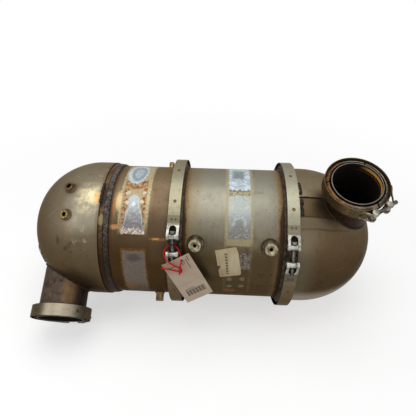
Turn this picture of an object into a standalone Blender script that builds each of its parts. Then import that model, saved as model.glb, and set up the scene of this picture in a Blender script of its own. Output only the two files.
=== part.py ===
"""Diesel particulate filter of a truck: an oxidation catalyst and a soot filter in two stainless cans,
joined by V-band clamps, with a domed inlet head, a pressed two-half outlet head and two side pipes.

Metres, +Z up. The cans lie along X. The part rests on its two large clamps and on the latch of the
inlet clamp. Angles about the cans' axis start at the front (-Y) of the unrolled assembly and rise upwards.
"""

import math

import bmesh
import bpy
from mathutils import Matrix, Vector

# Clearance and sheet
FIT = 0.0003                      # between pieces that touch
SHEET = 0.0015                    # the cans' stainless sheet
HEAD_SHEET = 0.002                # the heads' thicker pressing sheet
SEAM_GAP = 0.0016                 # open seam between the two halves of the outlet head

# Cans and what they hold
CAN_RADIUS = 0.1525               # outside, a twelve-inch can
CATALYST_LENGTH = 0.170
FILTER_LENGTH = 0.2424
MAT_SPACE = 0.0113                # between a brick and its can
BRICK_SETBACK = 0.013             # from the joint between the cans to each brick
CATALYST_BRICK_GAP = 0.015        # from the catalyst brick to its can's far end
FILTER_BRICK_GAP = 0.0164
MAT_INSET = 0.009                 # the mat is this much shorter at each end than its brick

# Heads
INLET_HEAD_STEP = 0.0068          # from the can's outside to the dome's
INLET_SKIRT = 0.0365              # straight part of the inlet dome
INLET_DEPTH = 0.1448              # crowned part
INLET_RIM = 0.159                 # from the catalyst joint to the dome's open rim
OUTLET_HEAD_STEP = 0.0051
OUTLET_SKIRT = 0.0197
OUTLET_RIM_GAP = 0.0008           # between the rear clamp and the outlet head's rim
OUTLET_DEPTH = 0.1682
RING_OVERLAP = 0.026              # how far the ring reaches under the inlet dome's skirt
RING_REACH = 0.011                # how far it shows past the dome's rim
BEAD_WIDTH = 0.011                # weld bead that runs from the ring down to the can

# Pipes
PIPE_RADIUS = 0.0508              # four-inch pipe, outside
PIPE_WALL = 0.002
PIPE_HUB_WALL = 0.0022            # hub of a pipe's flange
PIPE_ROOT = 0.04                  # from the cans' axis to where a pipe starts before it is trimmed
INLET_PIPE_PLACE = 0.262          # from the catalyst joint back to the pipe's axis
INLET_PIPE_ANGLE = math.radians(-66.2)
INLET_PIPE_LEAN = math.radians(1.3)
INLET_PIPE_REACH = 0.2257         # from the cans' axis to the open end
OUTLET_PIPE_PLACE = 0.1187        # from the filter's far joint on to the pipe's axis
OUTLET_PIPE_ANGLE = math.radians(32.4)
OUTLET_PIPE_REACH = 0.2143

# V-band clamps: the band, the retainers inside it and the latch
BAND_WIDTH = 0.0254
BAND_SHEET = 0.0015
LARGE_BAND_STEP = 0.019           # from a can's outside to its clamp's
SMALL_BAND_STEP = 0.0136          # from a pipe's outside to its clamp's
LARGE_FOOT_STEP = 0.0052          # from a can's outside to the feet of its retainers
SMALL_FOOT_STEP = 0.0045
RETAINER_SHEET = 0.0016
RETAINER_SLACK = 0.0007           # between the band and the retainers' crown
CROWN_HALF = 0.0045               # half width of the retainers' flat crown
LEG_HALF = 0.0113                 # half width at the feet of their legs
FLANGE_FACE = 0.0009              # from the joint's middle plane to a flange face
GASKET_THICKNESS = 0.0012
GASKET_INSET = 0.003              # inside the flanges' lips
GASKET_STEP = 0.001               # outside the flanges' bore
HUB_REACH = 0.016                 # how far a flange's hub runs along its can
HEAD_HUB_EXTRA = 0.008            # the outlet head's flange runs this much further
LEG_SLACK = 0.00045               # between a leg and the flange's cone
LIP_SLACK = 0.0008                # between the crown and the flange's lip
RETAINER_OFFSETS = (0, 122, 234)  # degrees from the latch to the three gaps
RETAINER_GAP = 0.0045
TRUNNION_RADIUS = 0.006
TRUNNION_SPACING = 0.037          # between the two trunnions of a latch
BOLT_RADIUS = 0.004
BOLT_OVERHANG = 0.024             # thread past its trunnion
BOLT_HEAD_RADIUS = 0.0070
BOLT_HEAD_HEIGHT = 0.0055
LOOP_TAIL = 0.026                 # from a trunnion to where the strap meets the band again
SLOT_WIDTH = 0.0146               # slot of the strap loops
SLOT_REACH = 0.022                # from a trunnion to the slot's round end
LATCH_ANGLES = {                  # degrees in each clamp's own frame
    "front": 7.4,
    "rear": 11.4,
    "inlet": -86.0,
    "outlet": -56.0,
}

# Sensor bosses, fittings and stubs
DOME_BOSS_RADIUS = 0.0102
DOME_BOSS_HEIGHT = 0.009
DOME_BOSS_BORE = 0.0058
DOME_BOSS_PLACE = 0.0342          # along the axis from the end of the dome's skirt
DOME_BOSS_ANGLE = math.radians(34.8)
FITTING_RADIUS = 0.0092
FITTING_HEIGHT = 0.008
FITTING_BORE = 0.0045
FITTING_PLACE = 0.0326
FITTING_ANGLE = math.radians(11.6)
PAD_RADIUS = 0.0184               # welded pad of a filter pressure port
PAD_HEIGHT = 0.005
PORT_RADIUS = 0.0130
PORT_HEIGHT = 0.022
PORT_SEAT_RADIUS = 0.0078
PORT_SEAT_DEPTH = 0.003
PORT_BORE = 0.0034
PORT_BORE_DEPTH = 0.016
FRONT_PORT_PLACE = 0.0447         # from the filter's front joint
FRONT_PORT_ANGLE = -7.3           # degrees
REAR_PORT_PLACE = 0.0435          # from the filter's rear joint
REAR_PORT_ANGLE = -8.0
STUB_RADIUS = 0.0092
STUB_HEIGHT = 0.021
STUB_PLACE = 0.044                # from the catalyst joint back to the stub
STUB_ANGLE = math.radians(-80)
STUB_BORE = 0.0050
PROBE_RADIUS = 0.0066
PROBE_HEIGHT = 0.022
PROBE_PLACE = 0.035
PROBE_ANGLE = math.radians(104)

# Strip on the end of the inlet dome, paper tag, its string and the torn label
STRIP_SHEET = 0.0016
STRIP_FROM = 0.112                # along the axis from the end of the dome's skirt
STRIP_TO = 0.128
STRIP_ANGLES = (math.radians(-52), math.radians(-31))
TAG_WIDTH = 0.0603
TAG_HEIGHT = 0.1206
TAG_THICKNESS = 0.0008
TAG_HOLE_RADIUS = 0.0026
TAG_HOLE = (0.0102, 0.0516)       # from the tag's centre
TAG_PLACE = 0.0321                # along the axis from the catalyst joint
TAG_ANGLE = math.radians(-31.6)
TAG_LIFT = -0.0004                # of the tag's centre, upwards in the plane at that angle
TAG_STANDOFF = 0.0242             # from the can's outside to the tag's centre
TAG_YAW = math.radians(10.9)
TAG_ROLL = math.radians(24.8)
LABEL_THICKNESS = 0.0006
LABEL_PLACE = 0.0857              # from the catalyst joint to the label's first corner
LABEL_LENGTH = 0.0562
LABEL_OUTLINE = (                 # torn, as shares of its length and degrees
    (0.0, -12.0), (0.365, -10.4), (0.765, -8.6), (0.867, -13.7),
    (1.0, -30.7), (0.989, -33.3), (0.596, -35.0), (0.219, -36.5),
    (0.153, -29.6), (0.240, -24.7), (0.110, -25.3), (0.064, -18.6),
)
STRING_RADIUS = 0.0012
STRING_SPACING = 0.0052
STRING_ROUTE = (                  # millimetres from the joint and from the axis, and degrees
    (-20.2, 192.5, -20.8), (-10.2, 189.9, -21.6), (0.3, 187.2, -22.7), (11.2, 184.5, -23.9),
    (17.3, 183.3, -24.1), (19.8, 183.4, -22.8), (17.6, 184.4, -21.7), (12.1, 186.2, -20.7),
    (5.8, 188.2, -19.5), (-2.3, 191.7, -17.3), (-9.6, 191.3, -15.4), (-14.9, 188.6, -12.7),
    (-14.8, 182.4, -9.9), (-10.4, 176.4, -8.4), (-5.2, 172.2, -7.9), (-0.5, 171.15, -7.8),
    (4.1, 172.0, -7.9), (9.7, 174.8, -8.8), (14.6, 177.2, -10.9), (17.4, 179.8, -13.4),
    (19.4, 184.1, -15.0), (20.0, 186.4, -15.8), (19.6, 188.0, -16.9), (18.4, 188.4, -19.2),
    (17.1, 187.7, -21.8), (16.0, 185.5, -24.5), (14.9, 182.9, -26.7),
)

# Facets
CAN_STEPS = 40
HIDDEN_STEPS = 28
PIPE_STEPS = 32
SMALL_STEPS = 12
DOME_RINGS = 8
LARGE_BAND_STEPS = 44
SMALL_BAND_STEPS = 32

# What follows from the sizes above
CAN_BORE = CAN_RADIUS - SHEET
BRICK_RADIUS = CAN_BORE - MAT_SPACE
CATALYST_BRICK_LENGTH = CATALYST_LENGTH - BRICK_SETBACK - CATALYST_BRICK_GAP
FILTER_BRICK_LENGTH = FILTER_LENGTH - BRICK_SETBACK - FILTER_BRICK_GAP
INLET_HEAD_RADIUS = CAN_RADIUS + INLET_HEAD_STEP
OUTLET_HEAD_RADIUS = CAN_RADIUS + OUTLET_HEAD_STEP
LARGE_BAND_RADIUS = CAN_RADIUS + LARGE_BAND_STEP
SMALL_BAND_RADIUS = PIPE_RADIUS + SMALL_BAND_STEP
LARGE_FOOT = CAN_RADIUS + LARGE_FOOT_STEP
SMALL_FOOT = PIPE_RADIUS + SMALL_FOOT_STEP
BAND_BORE = BAND_SHEET + TRUNNION_RADIUS + FIT
FLANGE_BORE = CAN_RADIUS + FIT
HUB_RADIUS = OUTLET_HEAD_RADIUS - HEAD_SHEET - FIT
PIPE_BORE = PIPE_RADIUS - PIPE_WALL
PIPE_HUB_RADIUS = PIPE_RADIUS + PIPE_HUB_WALL
HALF_BAND = BAND_WIDTH / 2
HALF_LATCH = TRUNNION_SPACING / 2
DOME_START = -(INLET_RIM + INLET_SKIRT)
DOME_END = DOME_START - INLET_DEPTH
OUTLET_RIM = FILTER_LENGTH + HALF_BAND + OUTLET_RIM_GAP
OUTLET_CROWN = OUTLET_RIM + OUTLET_SKIRT
OUTLET_END = OUTLET_CROWN + OUTLET_DEPTH
PORTS = {                         # place along the axis and degrees
    "front_pressure_port": (FRONT_PORT_PLACE, FRONT_PORT_ANGLE),
    "rear_pressure_port": (FILTER_LENGTH - REAR_PORT_PLACE, REAR_PORT_ANGLE),
}

model = bpy.data.collections.new("diesel_particulate_filter")
cutters = bpy.data.collections.new("cutters")


def clear_scene():
    for item in list(bpy.data.objects):
        bpy.data.objects.remove(item, do_unlink=True)
    for group in (model, cutters):
        bpy.context.scene.collection.children.link(group)


def finish(name, colour, metallic, roughness):
    """A plain Principled material in the piece's own colour."""
    made = bpy.data.materials.new(name)
    made.use_nodes = True
    shader = made.node_tree.nodes["Principled BSDF"]
    shader.inputs["Base Color"].default_value = (*colour, 1)
    shader.inputs["Metallic"].default_value = metallic
    shader.inputs["Roughness"].default_value = roughness
    made.diffuse_color = (*colour, 1)
    return made


def trunnion_height(band_radius):
    """Height of a latch's bolt line above the clamp's centre, along the latch's own direction."""
    to_centre = band_radius - BAND_SHEET + BAND_BORE
    return math.sqrt(to_centre ** 2 - HALF_LATCH ** 2)


def rest_roll():
    """How far the assembly rolls forward until the inlet clamp's latch comes down to the floor."""
    depth = trunnion_height(SMALL_BAND_RADIUS) + BAND_BORE
    reach = math.hypot(INLET_PIPE_REACH, depth)
    dip = math.asin(LARGE_BAND_RADIUS / reach) - math.atan2(depth, INLET_PIPE_REACH)
    return dip + INLET_PIPE_ANGLE, dip


def make_cradle():
    """The empty that carries everything: it holds the roll at rest and centres the part over its origin."""
    roll, dip = rest_roll()
    front = INLET_PIPE_REACH * math.cos(dip) + SMALL_BAND_RADIUS * math.sin(dip)
    cradle = bpy.data.objects.new("cradle", None)
    model.objects.link(cradle)
    cradle.rotation_euler = (roll, 0, 0)
    cradle.location = (
        -(DOME_END + OUTLET_END) / 2,
        (front - LARGE_BAND_RADIUS) / 2,
        LARGE_BAND_RADIUS,
    )
    return cradle


clear_scene()
CRADLE = make_cradle()

STEEL = finish("can_steel", (0.36, 0.34, 0.30), 0.9, 0.42)
DOME_STEEL = finish("dome_steel", (0.33, 0.30, 0.26), 0.9, 0.40)
BROWN_STEEL = finish("scorched_steel", (0.16, 0.11, 0.075), 0.85, 0.5)
BAND_STEEL = finish("band_steel", (0.42, 0.40, 0.35), 0.9, 0.38)
RETAINER_STEEL = finish("retainer_steel", (0.13, 0.11, 0.09), 0.8, 0.5)
FLANGE_STEEL = finish("flange_steel", (0.20, 0.18, 0.16), 0.85, 0.45)
PLATED_STEEL = finish("plated_steel", (0.62, 0.60, 0.54), 0.95, 0.3)
BRASS = finish("brass", (0.55, 0.40, 0.16), 0.95, 0.32)
SUBSTRATE = finish("filter_substrate", (0.50, 0.47, 0.40), 0.0, 0.9)
MAT_FIBRE = finish("mat_fibre", (0.75, 0.72, 0.65), 0.0, 0.95)
GRAPHITE = finish("graphite", (0.07, 0.07, 0.07), 0.2, 0.7)
PAPER = finish("manila_paper", (0.50, 0.38, 0.28), 0.0, 0.8)
LABEL_PAPER = finish("label_paper", (0.55, 0.48, 0.30), 0.0, 0.8)
RED_STRING = finish("red_string", (0.55, 0.02, 0.03), 0.0, 0.7)


def along_axis(x, angle=OUTLET_PIPE_ANGLE):
    """Frame on the cans' axis: local Z along the axis, local X outwards at this angle."""
    face = Matrix(((0, 0, 1, 0), (-1, 0, 0, 0), (0, -1, 0, 0), (0, 0, 0, 1)))
    return Matrix.Translation((x, 0, 0)) @ Matrix.Rotation(-angle, 4, "X") @ face


def back_along_axis(x, angle=OUTLET_PIPE_ANGLE):
    """The same frame turned about its local X, so that local Z runs towards the inlet."""
    return along_axis(x, angle) @ Matrix.Rotation(math.pi, 4, "X")


def off_axis(x, angle, lean=0.0, reach=0.0):
    """Frame whose local Z leaves the cans' axis at this angle, with local X along the axis."""
    face = Matrix(((1, 0, 0, 0), (0, 0, -1, 0), (0, 1, 0, 0), (0, 0, 0, 1)))
    turned = Matrix.Rotation(-angle, 4, "X") @ face @ Matrix.Rotation(lean, 4, "Y")
    return Matrix.Translation((x, 0, 0)) @ turned @ Matrix.Translation((0, 0, reach))


INLET_MOUTH = off_axis(-INLET_PIPE_PLACE, INLET_PIPE_ANGLE, INLET_PIPE_LEAN, INLET_PIPE_REACH)
OUTLET_MOUTH = off_axis(FILTER_LENGTH + OUTLET_PIPE_PLACE, OUTLET_PIPE_ANGLE, 0.0, OUTLET_PIPE_REACH)


def place(item, frame, material=None):
    """Puts an object into the model, or among the cutters if it has no material."""
    (model if material else cutters).objects.link(item)
    item.parent = CRADLE
    item.matrix_local = frame
    if material:
        item.data.materials.clear()
        item.data.materials.append(material)
    else:
        item.hide_render = True
        item.display_type = "WIRE"
    return item


def smooth(item, angle=40):
    item.data.shade_smooth()
    item.data.set_sharp_from_angle(angle=math.radians(angle))


def line_object(name, points, closed):
    """A mesh of edges through (radius, height) points in its local XZ plane."""
    mesh = bpy.data.meshes.new(name)
    edges = [(i, i + 1) for i in range(len(points) - 1)]
    if closed:
        edges.append((len(points) - 1, 0))
    mesh.from_pydata([(radius, 0, height) for radius, height in points], edges, [])
    return bpy.data.objects.new(name, mesh)


def add_screw(item, steps, angle=math.tau):
    screw = item.modifiers.new("turn", "SCREW")
    screw.axis = "Z"
    screw.angle = angle
    screw.steps = steps
    screw.render_steps = steps
    screw.use_merge_vertices = True
    screw.merge_threshold = 0.00001
    screw.use_smooth_shade = True


def turned(name, profile, frame, material=None, steps=CAN_STEPS):
    """A solid of revolution. A profile that starts and ends on the axis is closed there."""
    area = sum(a[0] * b[1] - b[0] * a[1] for a, b in zip(profile, profile[1:] + profile[:1]))
    points = profile if area < 0 else profile[::-1]
    on_axis = points[0][0] == 0 and points[-1][0] == 0
    item = line_object(name, points, not on_axis)
    add_screw(item, steps)
    return place(item, frame, material)


def pressed(name, profile, frame, material, sheet, steps=CAN_STEPS, angle=math.tau):
    """A pressing: a turned open profile on the middle of the sheet, thickened both ways."""
    item = line_object(name, profile, False)
    add_screw(item, steps, angle)
    shell = item.modifiers.new("sheet", "SOLIDIFY")
    shell.thickness = sheet
    shell.offset = 0
    shell.use_even_offset = True
    return place(item, frame, material)


def tube(name, bore, outside, low, high, frame, material=None, steps=CAN_STEPS):
    profile = [(bore, high), (outside, high), (outside, low), (bore, low)]
    return turned(name, profile, frame, material, steps)


def rod(name, radius, low, high, frame, material=None, sides=SMALL_STEPS, tip=None):
    """A round bar along local Z; tip is the radius at its far end."""
    body = bmesh.new()
    bmesh.ops.create_cone(
        body,
        cap_ends=True,
        segments=sides,
        radius1=radius,
        radius2=radius if tip is None else tip,
        depth=high - low,
        matrix=Matrix.Translation((0, 0, (low + high) / 2)),
    )
    mesh = bpy.data.meshes.new(name)
    body.to_mesh(mesh)
    body.free()
    return place(bpy.data.objects.new(name, mesh), frame, material)


def flat_shape(name, outlines, thickness, frame, material=None):
    """A plate in local XY, centred on it, from its outline and the outlines of its holes."""
    drawing = bpy.data.curves.new(name, "CURVE")
    drawing.dimensions = "2D"
    drawing.fill_mode = "BOTH"
    drawing.extrude = thickness / 2
    for outline in outlines:
        spline = drawing.splines.new("POLY")
        spline.points.add(len(outline) - 1)
        for point, (x, y) in zip(spline.points, outline):
            point.co = (x, y, 0, 1)
        spline.use_cyclic_u = True
    sketch = bpy.data.objects.new(name + "_sketch", drawing)
    cutters.objects.link(sketch)
    mesh = bpy.data.meshes.new_from_object(sketch.evaluated_get(bpy.context.evaluated_depsgraph_get()))
    bpy.data.objects.remove(sketch)
    body = bmesh.new()
    body.from_mesh(mesh)
    bmesh.ops.remove_doubles(body, verts=body.verts, dist=0.00001)
    bmesh.ops.recalc_face_normals(body, faces=body.faces)
    body.to_mesh(mesh)
    body.free()
    mesh.name = name
    return place(bpy.data.objects.new(name, mesh), frame, material)


def cut(item, cutter, operation="DIFFERENCE"):
    step = item.modifiers.new(cutter.name, "BOOLEAN")
    step.operation = operation
    step.object = cutter


def arc(centre, radius, start, end, steps):
    """Points on an arc, ends included, angles in radians."""
    return [
        (
            centre[0] + radius * math.cos(start + (end - start) * i / steps),
            centre[1] + radius * math.sin(start + (end - start) * i / steps),
        )
        for i in range(steps + 1)
    ]


def crown(radius, depth, fullness, flatness):
    """A pressed head's crown as (radius, height) points, from its straight skirt to the pole."""
    points = []
    for i in range(DOME_RINGS + 1):
        height = math.sin(math.pi / 2 * i / DOME_RINGS)
        points.append((radius * max(0.0, 1 - height ** fullness) ** (1 / flatness), depth * height))
    points[-1] = (0, depth)
    return points


def head_profile(radius, skirt, depth, fullness, flatness, grow=0.0):
    """Skirt and crown of a head, grown outwards or inwards by a part of the sheet."""
    middle = radius - HEAD_SHEET / 2 + grow
    crown_points = crown(middle, depth - HEAD_SHEET / 2 + grow, fullness, flatness)
    return [(middle, -skirt)] + crown_points


INLET_FORM = (INLET_HEAD_RADIUS, INLET_SKIRT, INLET_DEPTH, 1.75, 2.46)
OUTLET_FORM = (OUTLET_HEAD_RADIUS, OUTLET_SKIRT, OUTLET_DEPTH, 2.1, 2.0)


def stretch(line, low, high):
    """The part of a (radius, height) line between two heights."""
    def at(height):
        for (r0, h0), (r1, h1) in zip(line, line[1:]):
            if h0 <= height <= h1:
                return (r0 + (r1 - r0) * (height - h0) / (h1 - h0), height)

    return [at(low)] + [point for point in line if low < point[1] < high] + [at(high)]


def head_room(name, form, frame, grow):
    """Solid of everything inside a head, a little larger, which trims what is welded onto it."""
    points = head_profile(*form, grow=HEAD_SHEET / 2 + grow)
    return turned(name, [(0, points[0][1])] + points, frame)


def dome_point(x, angle):
    """Frame on the inlet dome's surface: local Z square to the sheet, x past the end of the skirt."""
    radius, _, depth, fullness, flatness = INLET_FORM
    here = x / depth
    height = radius * (1 - here ** fullness) ** (1 / flatness)
    slope = -height / flatness / (1 - here ** fullness) * fullness * here ** (fullness - 1) / depth
    frame = off_axis(DOME_START - x, angle, 0.0, height)
    return frame @ Matrix.Rotation(math.atan(slope), 4, "Y")


def can_room(name, place_x):
    """Slice of the can, a little larger, which trims the foot of a boss."""
    half = PAD_RADIUS * 2
    return rod(name, CAN_RADIUS + FIT, -half, half, along_axis(place_x), sides=CAN_STEPS)


# V-band clamps

def band_outlines(band_radius, steps, latch):
    """The band with its two strap loops as one flat outline and the two loop eyes."""
    inner = band_radius - BAND_SHEET
    reach = inner + BAND_BORE
    lift = trunnion_height(band_radius)
    lean = math.asin(HALF_LATCH / reach)
    tail = lean + LOOP_TAIL / band_radius
    outline, eye = [], []
    tail_at = (band_radius * math.sin(tail), band_radius * math.cos(tail))
    centre = (HALF_LATCH, lift)

    def strap(radius):
        """Angle about the trunnion where a line from the tail touches a circle of this radius."""
        away = math.hypot(tail_at[0] - centre[0], tail_at[1] - centre[1])
        towards = math.atan2(tail_at[1] - centre[1], tail_at[0] - centre[0])
        return towards + math.acos(radius / away)

    # from the band's inner face round the gap side of the trunnion to the tail
    down = -math.pi / 2 - lean
    outer_turn = arc(centre, BAND_BORE, down, strap(BAND_BORE) - math.tau, 10)
    outline += outer_turn
    outline.append(tail_at)
    far = math.tau - tail
    count = steps - 2 * round(steps * tail / math.tau)
    body = [tail + (far - tail) * i / count for i in range(1, count)]
    outline += [(band_radius * math.sin(a), band_radius * math.cos(a)) for a in body]
    outline.append((-tail_at[0], tail_at[1]))
    outline += [(-x, y) for x, y in reversed(outer_turn)]
    back = [lean + (math.tau - 2 * lean) * i / steps for i in range(steps, -1, -1)]
    outline += [(inner * math.sin(a), inner * math.cos(a)) for a in back[1:-1]]

    # the eye: round the trunnion, then a wedge that narrows towards the tail
    turn = TRUNNION_RADIUS + FIT
    eye += arc(centre, turn, down, strap(turn) - math.tau, 10)
    top = eye[-1]
    wedge = lean + (tail - lean) * 0.72
    floor = band_radius + FIT
    share = 0.66
    eye.append((top[0] + (tail_at[0] - top[0]) * share, top[1] + (tail_at[1] - top[1]) * share))
    eye += [
        (floor * math.sin(a), floor * math.cos(a))
        for a in (wedge, lean + (wedge - lean) * 0.5)
    ]
    other = [(-x, y) for x, y in reversed(eye)]
    swing = latch - math.pi / 2
    shapes = (outline, eye, other)
    return [[(x * math.cos(swing) - y * math.sin(swing), x * math.sin(swing) + y * math.cos(swing))
             for x, y in shape] for shape in shapes]


def retainer_profile(band_radius, foot_radius):
    """Middle line of a retainer's section: leg, flat crown, leg."""
    crest = band_radius - BAND_SHEET - RETAINER_SLACK - RETAINER_SHEET / 2
    return [
        (foot_radius, LEG_HALF),
        (crest, CROWN_HALF),
        (crest, -CROWN_HALF),
        (foot_radius, -LEG_HALF),
    ]


def flange_profile(band_radius, foot_radius, bore, hub_radius, hub_reach):
    """Half of a V joint, outwards from the joint's middle plane: lip, cone parallel to a leg, hub."""
    crest = band_radius - BAND_SHEET - RETAINER_SLACK - RETAINER_SHEET / 2
    lean = math.atan2(LEG_HALF - CROWN_HALF, crest - foot_radius)
    inside = RETAINER_SHEET / 2 / math.cos(lean) + LEG_SLACK
    lip = crest - RETAINER_SHEET / 2 - LIP_SLACK

    def cone(radius):
        return CROWN_HALF + (crest - radius) * math.tan(lean) - inside

    return [
        (bore, FLANGE_FACE),
        (lip, FLANGE_FACE),
        (lip, cone(lip)),
        (hub_radius, cone(hub_radius)),
        (hub_radius, hub_reach),
        (bore, hub_reach),
    ]


def v_band(label, frame, band_radius, foot_radius, steps):
    """A whole clamp: the band with its strap loops, three retainers, two trunnions and the bolt."""
    latch = math.radians(LATCH_ANGLES[label])
    band = flat_shape(
        label + "_clamp_band",
        band_outlines(band_radius, steps, latch),
        BAND_WIDTH,
        frame,
        BAND_STEEL,
    )
    lift = trunnion_height(band_radius)
    latch_frame = frame @ Matrix.Rotation(latch, 4, "Z") @ Matrix.Translation((lift, 0, 0))
    # local X of this frame leaves the clamp through the latch, and its local Y runs along the bolt
    end = HALF_LATCH + SLOT_REACH - SLOT_WIDTH / 2
    half = SLOT_WIDTH / 2
    slot = arc((end, 0), half, -math.pi / 2, math.pi / 2, 8)
    slot += arc((-end, 0), half, math.pi / 2, 3 * math.pi / 2, 8)
    low, high = -BAND_BORE * 2, BAND_BORE * 2
    lying = Matrix(((0, 0, 1, 0), (1, 0, 0, 0), (0, 1, 0, 0), (0, 0, 0, 1)))
    slot_cutter = flat_shape(label + "_slot_cutter", [slot], high - low, latch_frame @ lying)
    cut(slot_cutter, rod(
        label + "_slot_floor", band_radius + 2 * FIT, -BAND_WIDTH, BAND_WIDTH, frame, sides=2 * steps
    ))
    cut(band, slot_cutter)

    gap = RETAINER_GAP / band_radius
    profile = retainer_profile(band_radius, foot_radius)
    edges = [math.radians(offset) for offset in RETAINER_OFFSETS] + [math.tau]
    for number, (start, end_at) in enumerate(zip(edges, edges[1:]), 1):
        span = end_at - start - gap
        pressed(
            f"{label}_clamp_retainer_{number}",
            profile,
            frame @ Matrix.Rotation(latch + start + gap / 2, 4, "Z"),
            RETAINER_STEEL,
            RETAINER_SHEET,
            round(steps * span / math.tau),
            span,
        )

    along_bolt = latch_frame @ Matrix.Rotation(-math.pi / 2, 4, "X")
    hole = rod(
        label + "_bolt_hole", BOLT_RADIUS + FIT, -TRUNNION_SPACING, TRUNNION_SPACING, along_bolt
    )
    for side, kind in ((-1, "trunnion"), (1, "trunnion_nut")):
        barrel = rod(
            f"{label}_clamp_{kind}",
            TRUNNION_RADIUS,
            FIT - HALF_BAND,
            HALF_BAND - FIT,
            latch_frame @ Matrix.Translation((0, side * HALF_LATCH, 0)),
            PLATED_STEEL,
        )
        cut(barrel, hole)
        smooth(barrel)
    seat = -HALF_LATCH - TRUNNION_RADIUS - FIT
    bolt = rod(
        label + "_clamp_bolt",
        BOLT_RADIUS,
        seat - BOLT_HEAD_HEIGHT / 2,
        HALF_LATCH + BOLT_OVERHANG,
        along_bolt,
        PLATED_STEEL,
    )
    cut(bolt, rod(
        label + "_bolt_head", BOLT_HEAD_RADIUS, seat - BOLT_HEAD_HEIGHT, seat, along_bolt, sides=6
    ), "UNION")


def make_clamps():
    v_band("front", along_axis(0, 0), LARGE_BAND_RADIUS, LARGE_FOOT, LARGE_BAND_STEPS)
    v_band("rear", along_axis(FILTER_LENGTH, 0), LARGE_BAND_RADIUS, LARGE_FOOT, LARGE_BAND_STEPS)
    for label, mouth in (("inlet", INLET_MOUTH), ("outlet", OUTLET_MOUTH)):
        middle = mouth @ Matrix.Translation((0, 0, -HALF_BAND))
        v_band(label, middle, SMALL_BAND_RADIUS, SMALL_FOOT, SMALL_BAND_STEPS)


def make_cans():
    """Two cans of rolled sheet, their V flanges and gaskets, and the bricks in their mats."""
    sections = (
        ("catalyst", -CATALYST_LENGTH, -FLANGE_FACE, -BRICK_SETBACK, -CATALYST_BRICK_LENGTH),
        ("filter", FLANGE_FACE, FILTER_LENGTH - FLANGE_FACE, BRICK_SETBACK, FILTER_BRICK_LENGTH),
    )
    for name, low, high, brick_end, brick_length in sections:
        frame = along_axis(0)
        tube(name + "_can", CAN_BORE, CAN_RADIUS, low, high, frame, STEEL)
        ends = sorted((brick_end, brick_end + brick_length))
        rod(name + "_brick", BRICK_RADIUS, *ends, frame, SUBSTRATE, HIDDEN_STEPS)
        mat_ends = (ends[0] + MAT_INSET, ends[1] - MAT_INSET)
        mat_outside = CAN_BORE - 2 * FIT
        tube(name + "_mat", BRICK_RADIUS + FIT, mat_outside, *mat_ends, frame, MAT_FIBRE, HIDDEN_STEPS)

    profile = flange_profile(LARGE_BAND_RADIUS, LARGE_FOOT, FLANGE_BORE, HUB_RADIUS, HUB_REACH)
    head_profile_end = [(r, z + HEAD_HUB_EXTRA if z == HUB_REACH else z) for r, z in profile]
    for name, frame, shape in (
        ("catalyst_outlet_flange", back_along_axis(0), profile),
        ("filter_inlet_flange", along_axis(0), profile),
        ("filter_outlet_flange", back_along_axis(FILTER_LENGTH), profile),
        ("outlet_head_flange", along_axis(FILTER_LENGTH), head_profile_end),
    ):
        smooth(turned(name, shape, frame, FLANGE_STEEL), 20)
    lip = max(radius for radius, _ in profile)
    half = GASKET_THICKNESS / 2
    for name, x in (("front_gasket", 0), ("rear_gasket", FILTER_LENGTH)):
        bore = FLANGE_BORE + GASKET_STEP
        tube(name, bore, lip - GASKET_INSET, -half, half, along_axis(x), GRAPHITE, HIDDEN_STEPS)


def make_inlet():
    """Domed head, the ring with its weld bead that joins it to the can, and the inlet pipe."""
    frame = back_along_axis(DOME_START)
    head = pressed("inlet_head", head_profile(*INLET_FORM), frame, DOME_STEEL, HEAD_SHEET)
    bore = rod("inlet_bore", PIPE_BORE, -INLET_PIPE_REACH, 0, INLET_MOUTH, sides=PIPE_STEPS)
    cut(head, bore)

    inner = CAN_RADIUS + FIT
    outer = INLET_HEAD_RADIUS - HEAD_SHEET - FIT
    under = -INLET_RIM - RING_OVERLAP
    bare = -INLET_RIM + RING_REACH
    bead = [
        (inner + (outer - inner) * math.cos(t), bare + BEAD_WIDTH * math.sin(t))
        for t in (math.pi / 8, math.pi / 4, math.pi * 3 / 8)
    ]
    ring = [(inner, under), (outer, under), (outer, bare)] + bead + [(inner, bare + BEAD_WIDTH)]
    smooth(turned("inlet_head_ring", ring, along_axis(0), BROWN_STEEL))

    room = head_room("inlet_head_room", INLET_FORM, frame, FIT)
    start = -INLET_PIPE_REACH + PIPE_ROOT
    pipe = tube("inlet_pipe", PIPE_BORE, PIPE_RADIUS, start, 0, INLET_MOUTH, BROWN_STEEL, PIPE_STEPS)
    cut(pipe, room)
    make_pipe_flange("inlet_pipe_flange", INLET_MOUTH)

    for name, x, angle, radius, height, hole, material in (
        ("temperature_boss", DOME_BOSS_PLACE, DOME_BOSS_ANGLE, DOME_BOSS_RADIUS, DOME_BOSS_HEIGHT,
         DOME_BOSS_BORE, PLATED_STEEL),
        ("inlet_pressure_fitting", FITTING_PLACE, FITTING_ANGLE, FITTING_RADIUS, FITTING_HEIGHT,
         FITTING_BORE, BRASS),
    ):
        spot = dome_point(x, angle)
        foot = -HEAD_SHEET - 0.002
        edge = radius * 0.12
        boss = turned(
            name,
            [(hole, height), (radius - edge, height), (radius, height - edge), (radius, foot), (hole, foot)],
            spot,
            material,
            SMALL_STEPS,
        )
        cut(boss, room)
        cut(head, rod(name + "_hole", hole, -0.012, 0.006, spot))
        smooth(boss, 30)
    smooth(head, 60)

    low, high = STRIP_ANGLES
    surface = head_profile(*INLET_FORM, grow=HEAD_SHEET / 2 + 2 * FIT + STRIP_SHEET / 2)
    strip = stretch(surface, STRIP_FROM, STRIP_TO)
    frame = back_along_axis(DOME_START, low)
    pressed("end_strip", strip, frame, PLATED_STEEL, STRIP_SHEET, 6, high - low)


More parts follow.
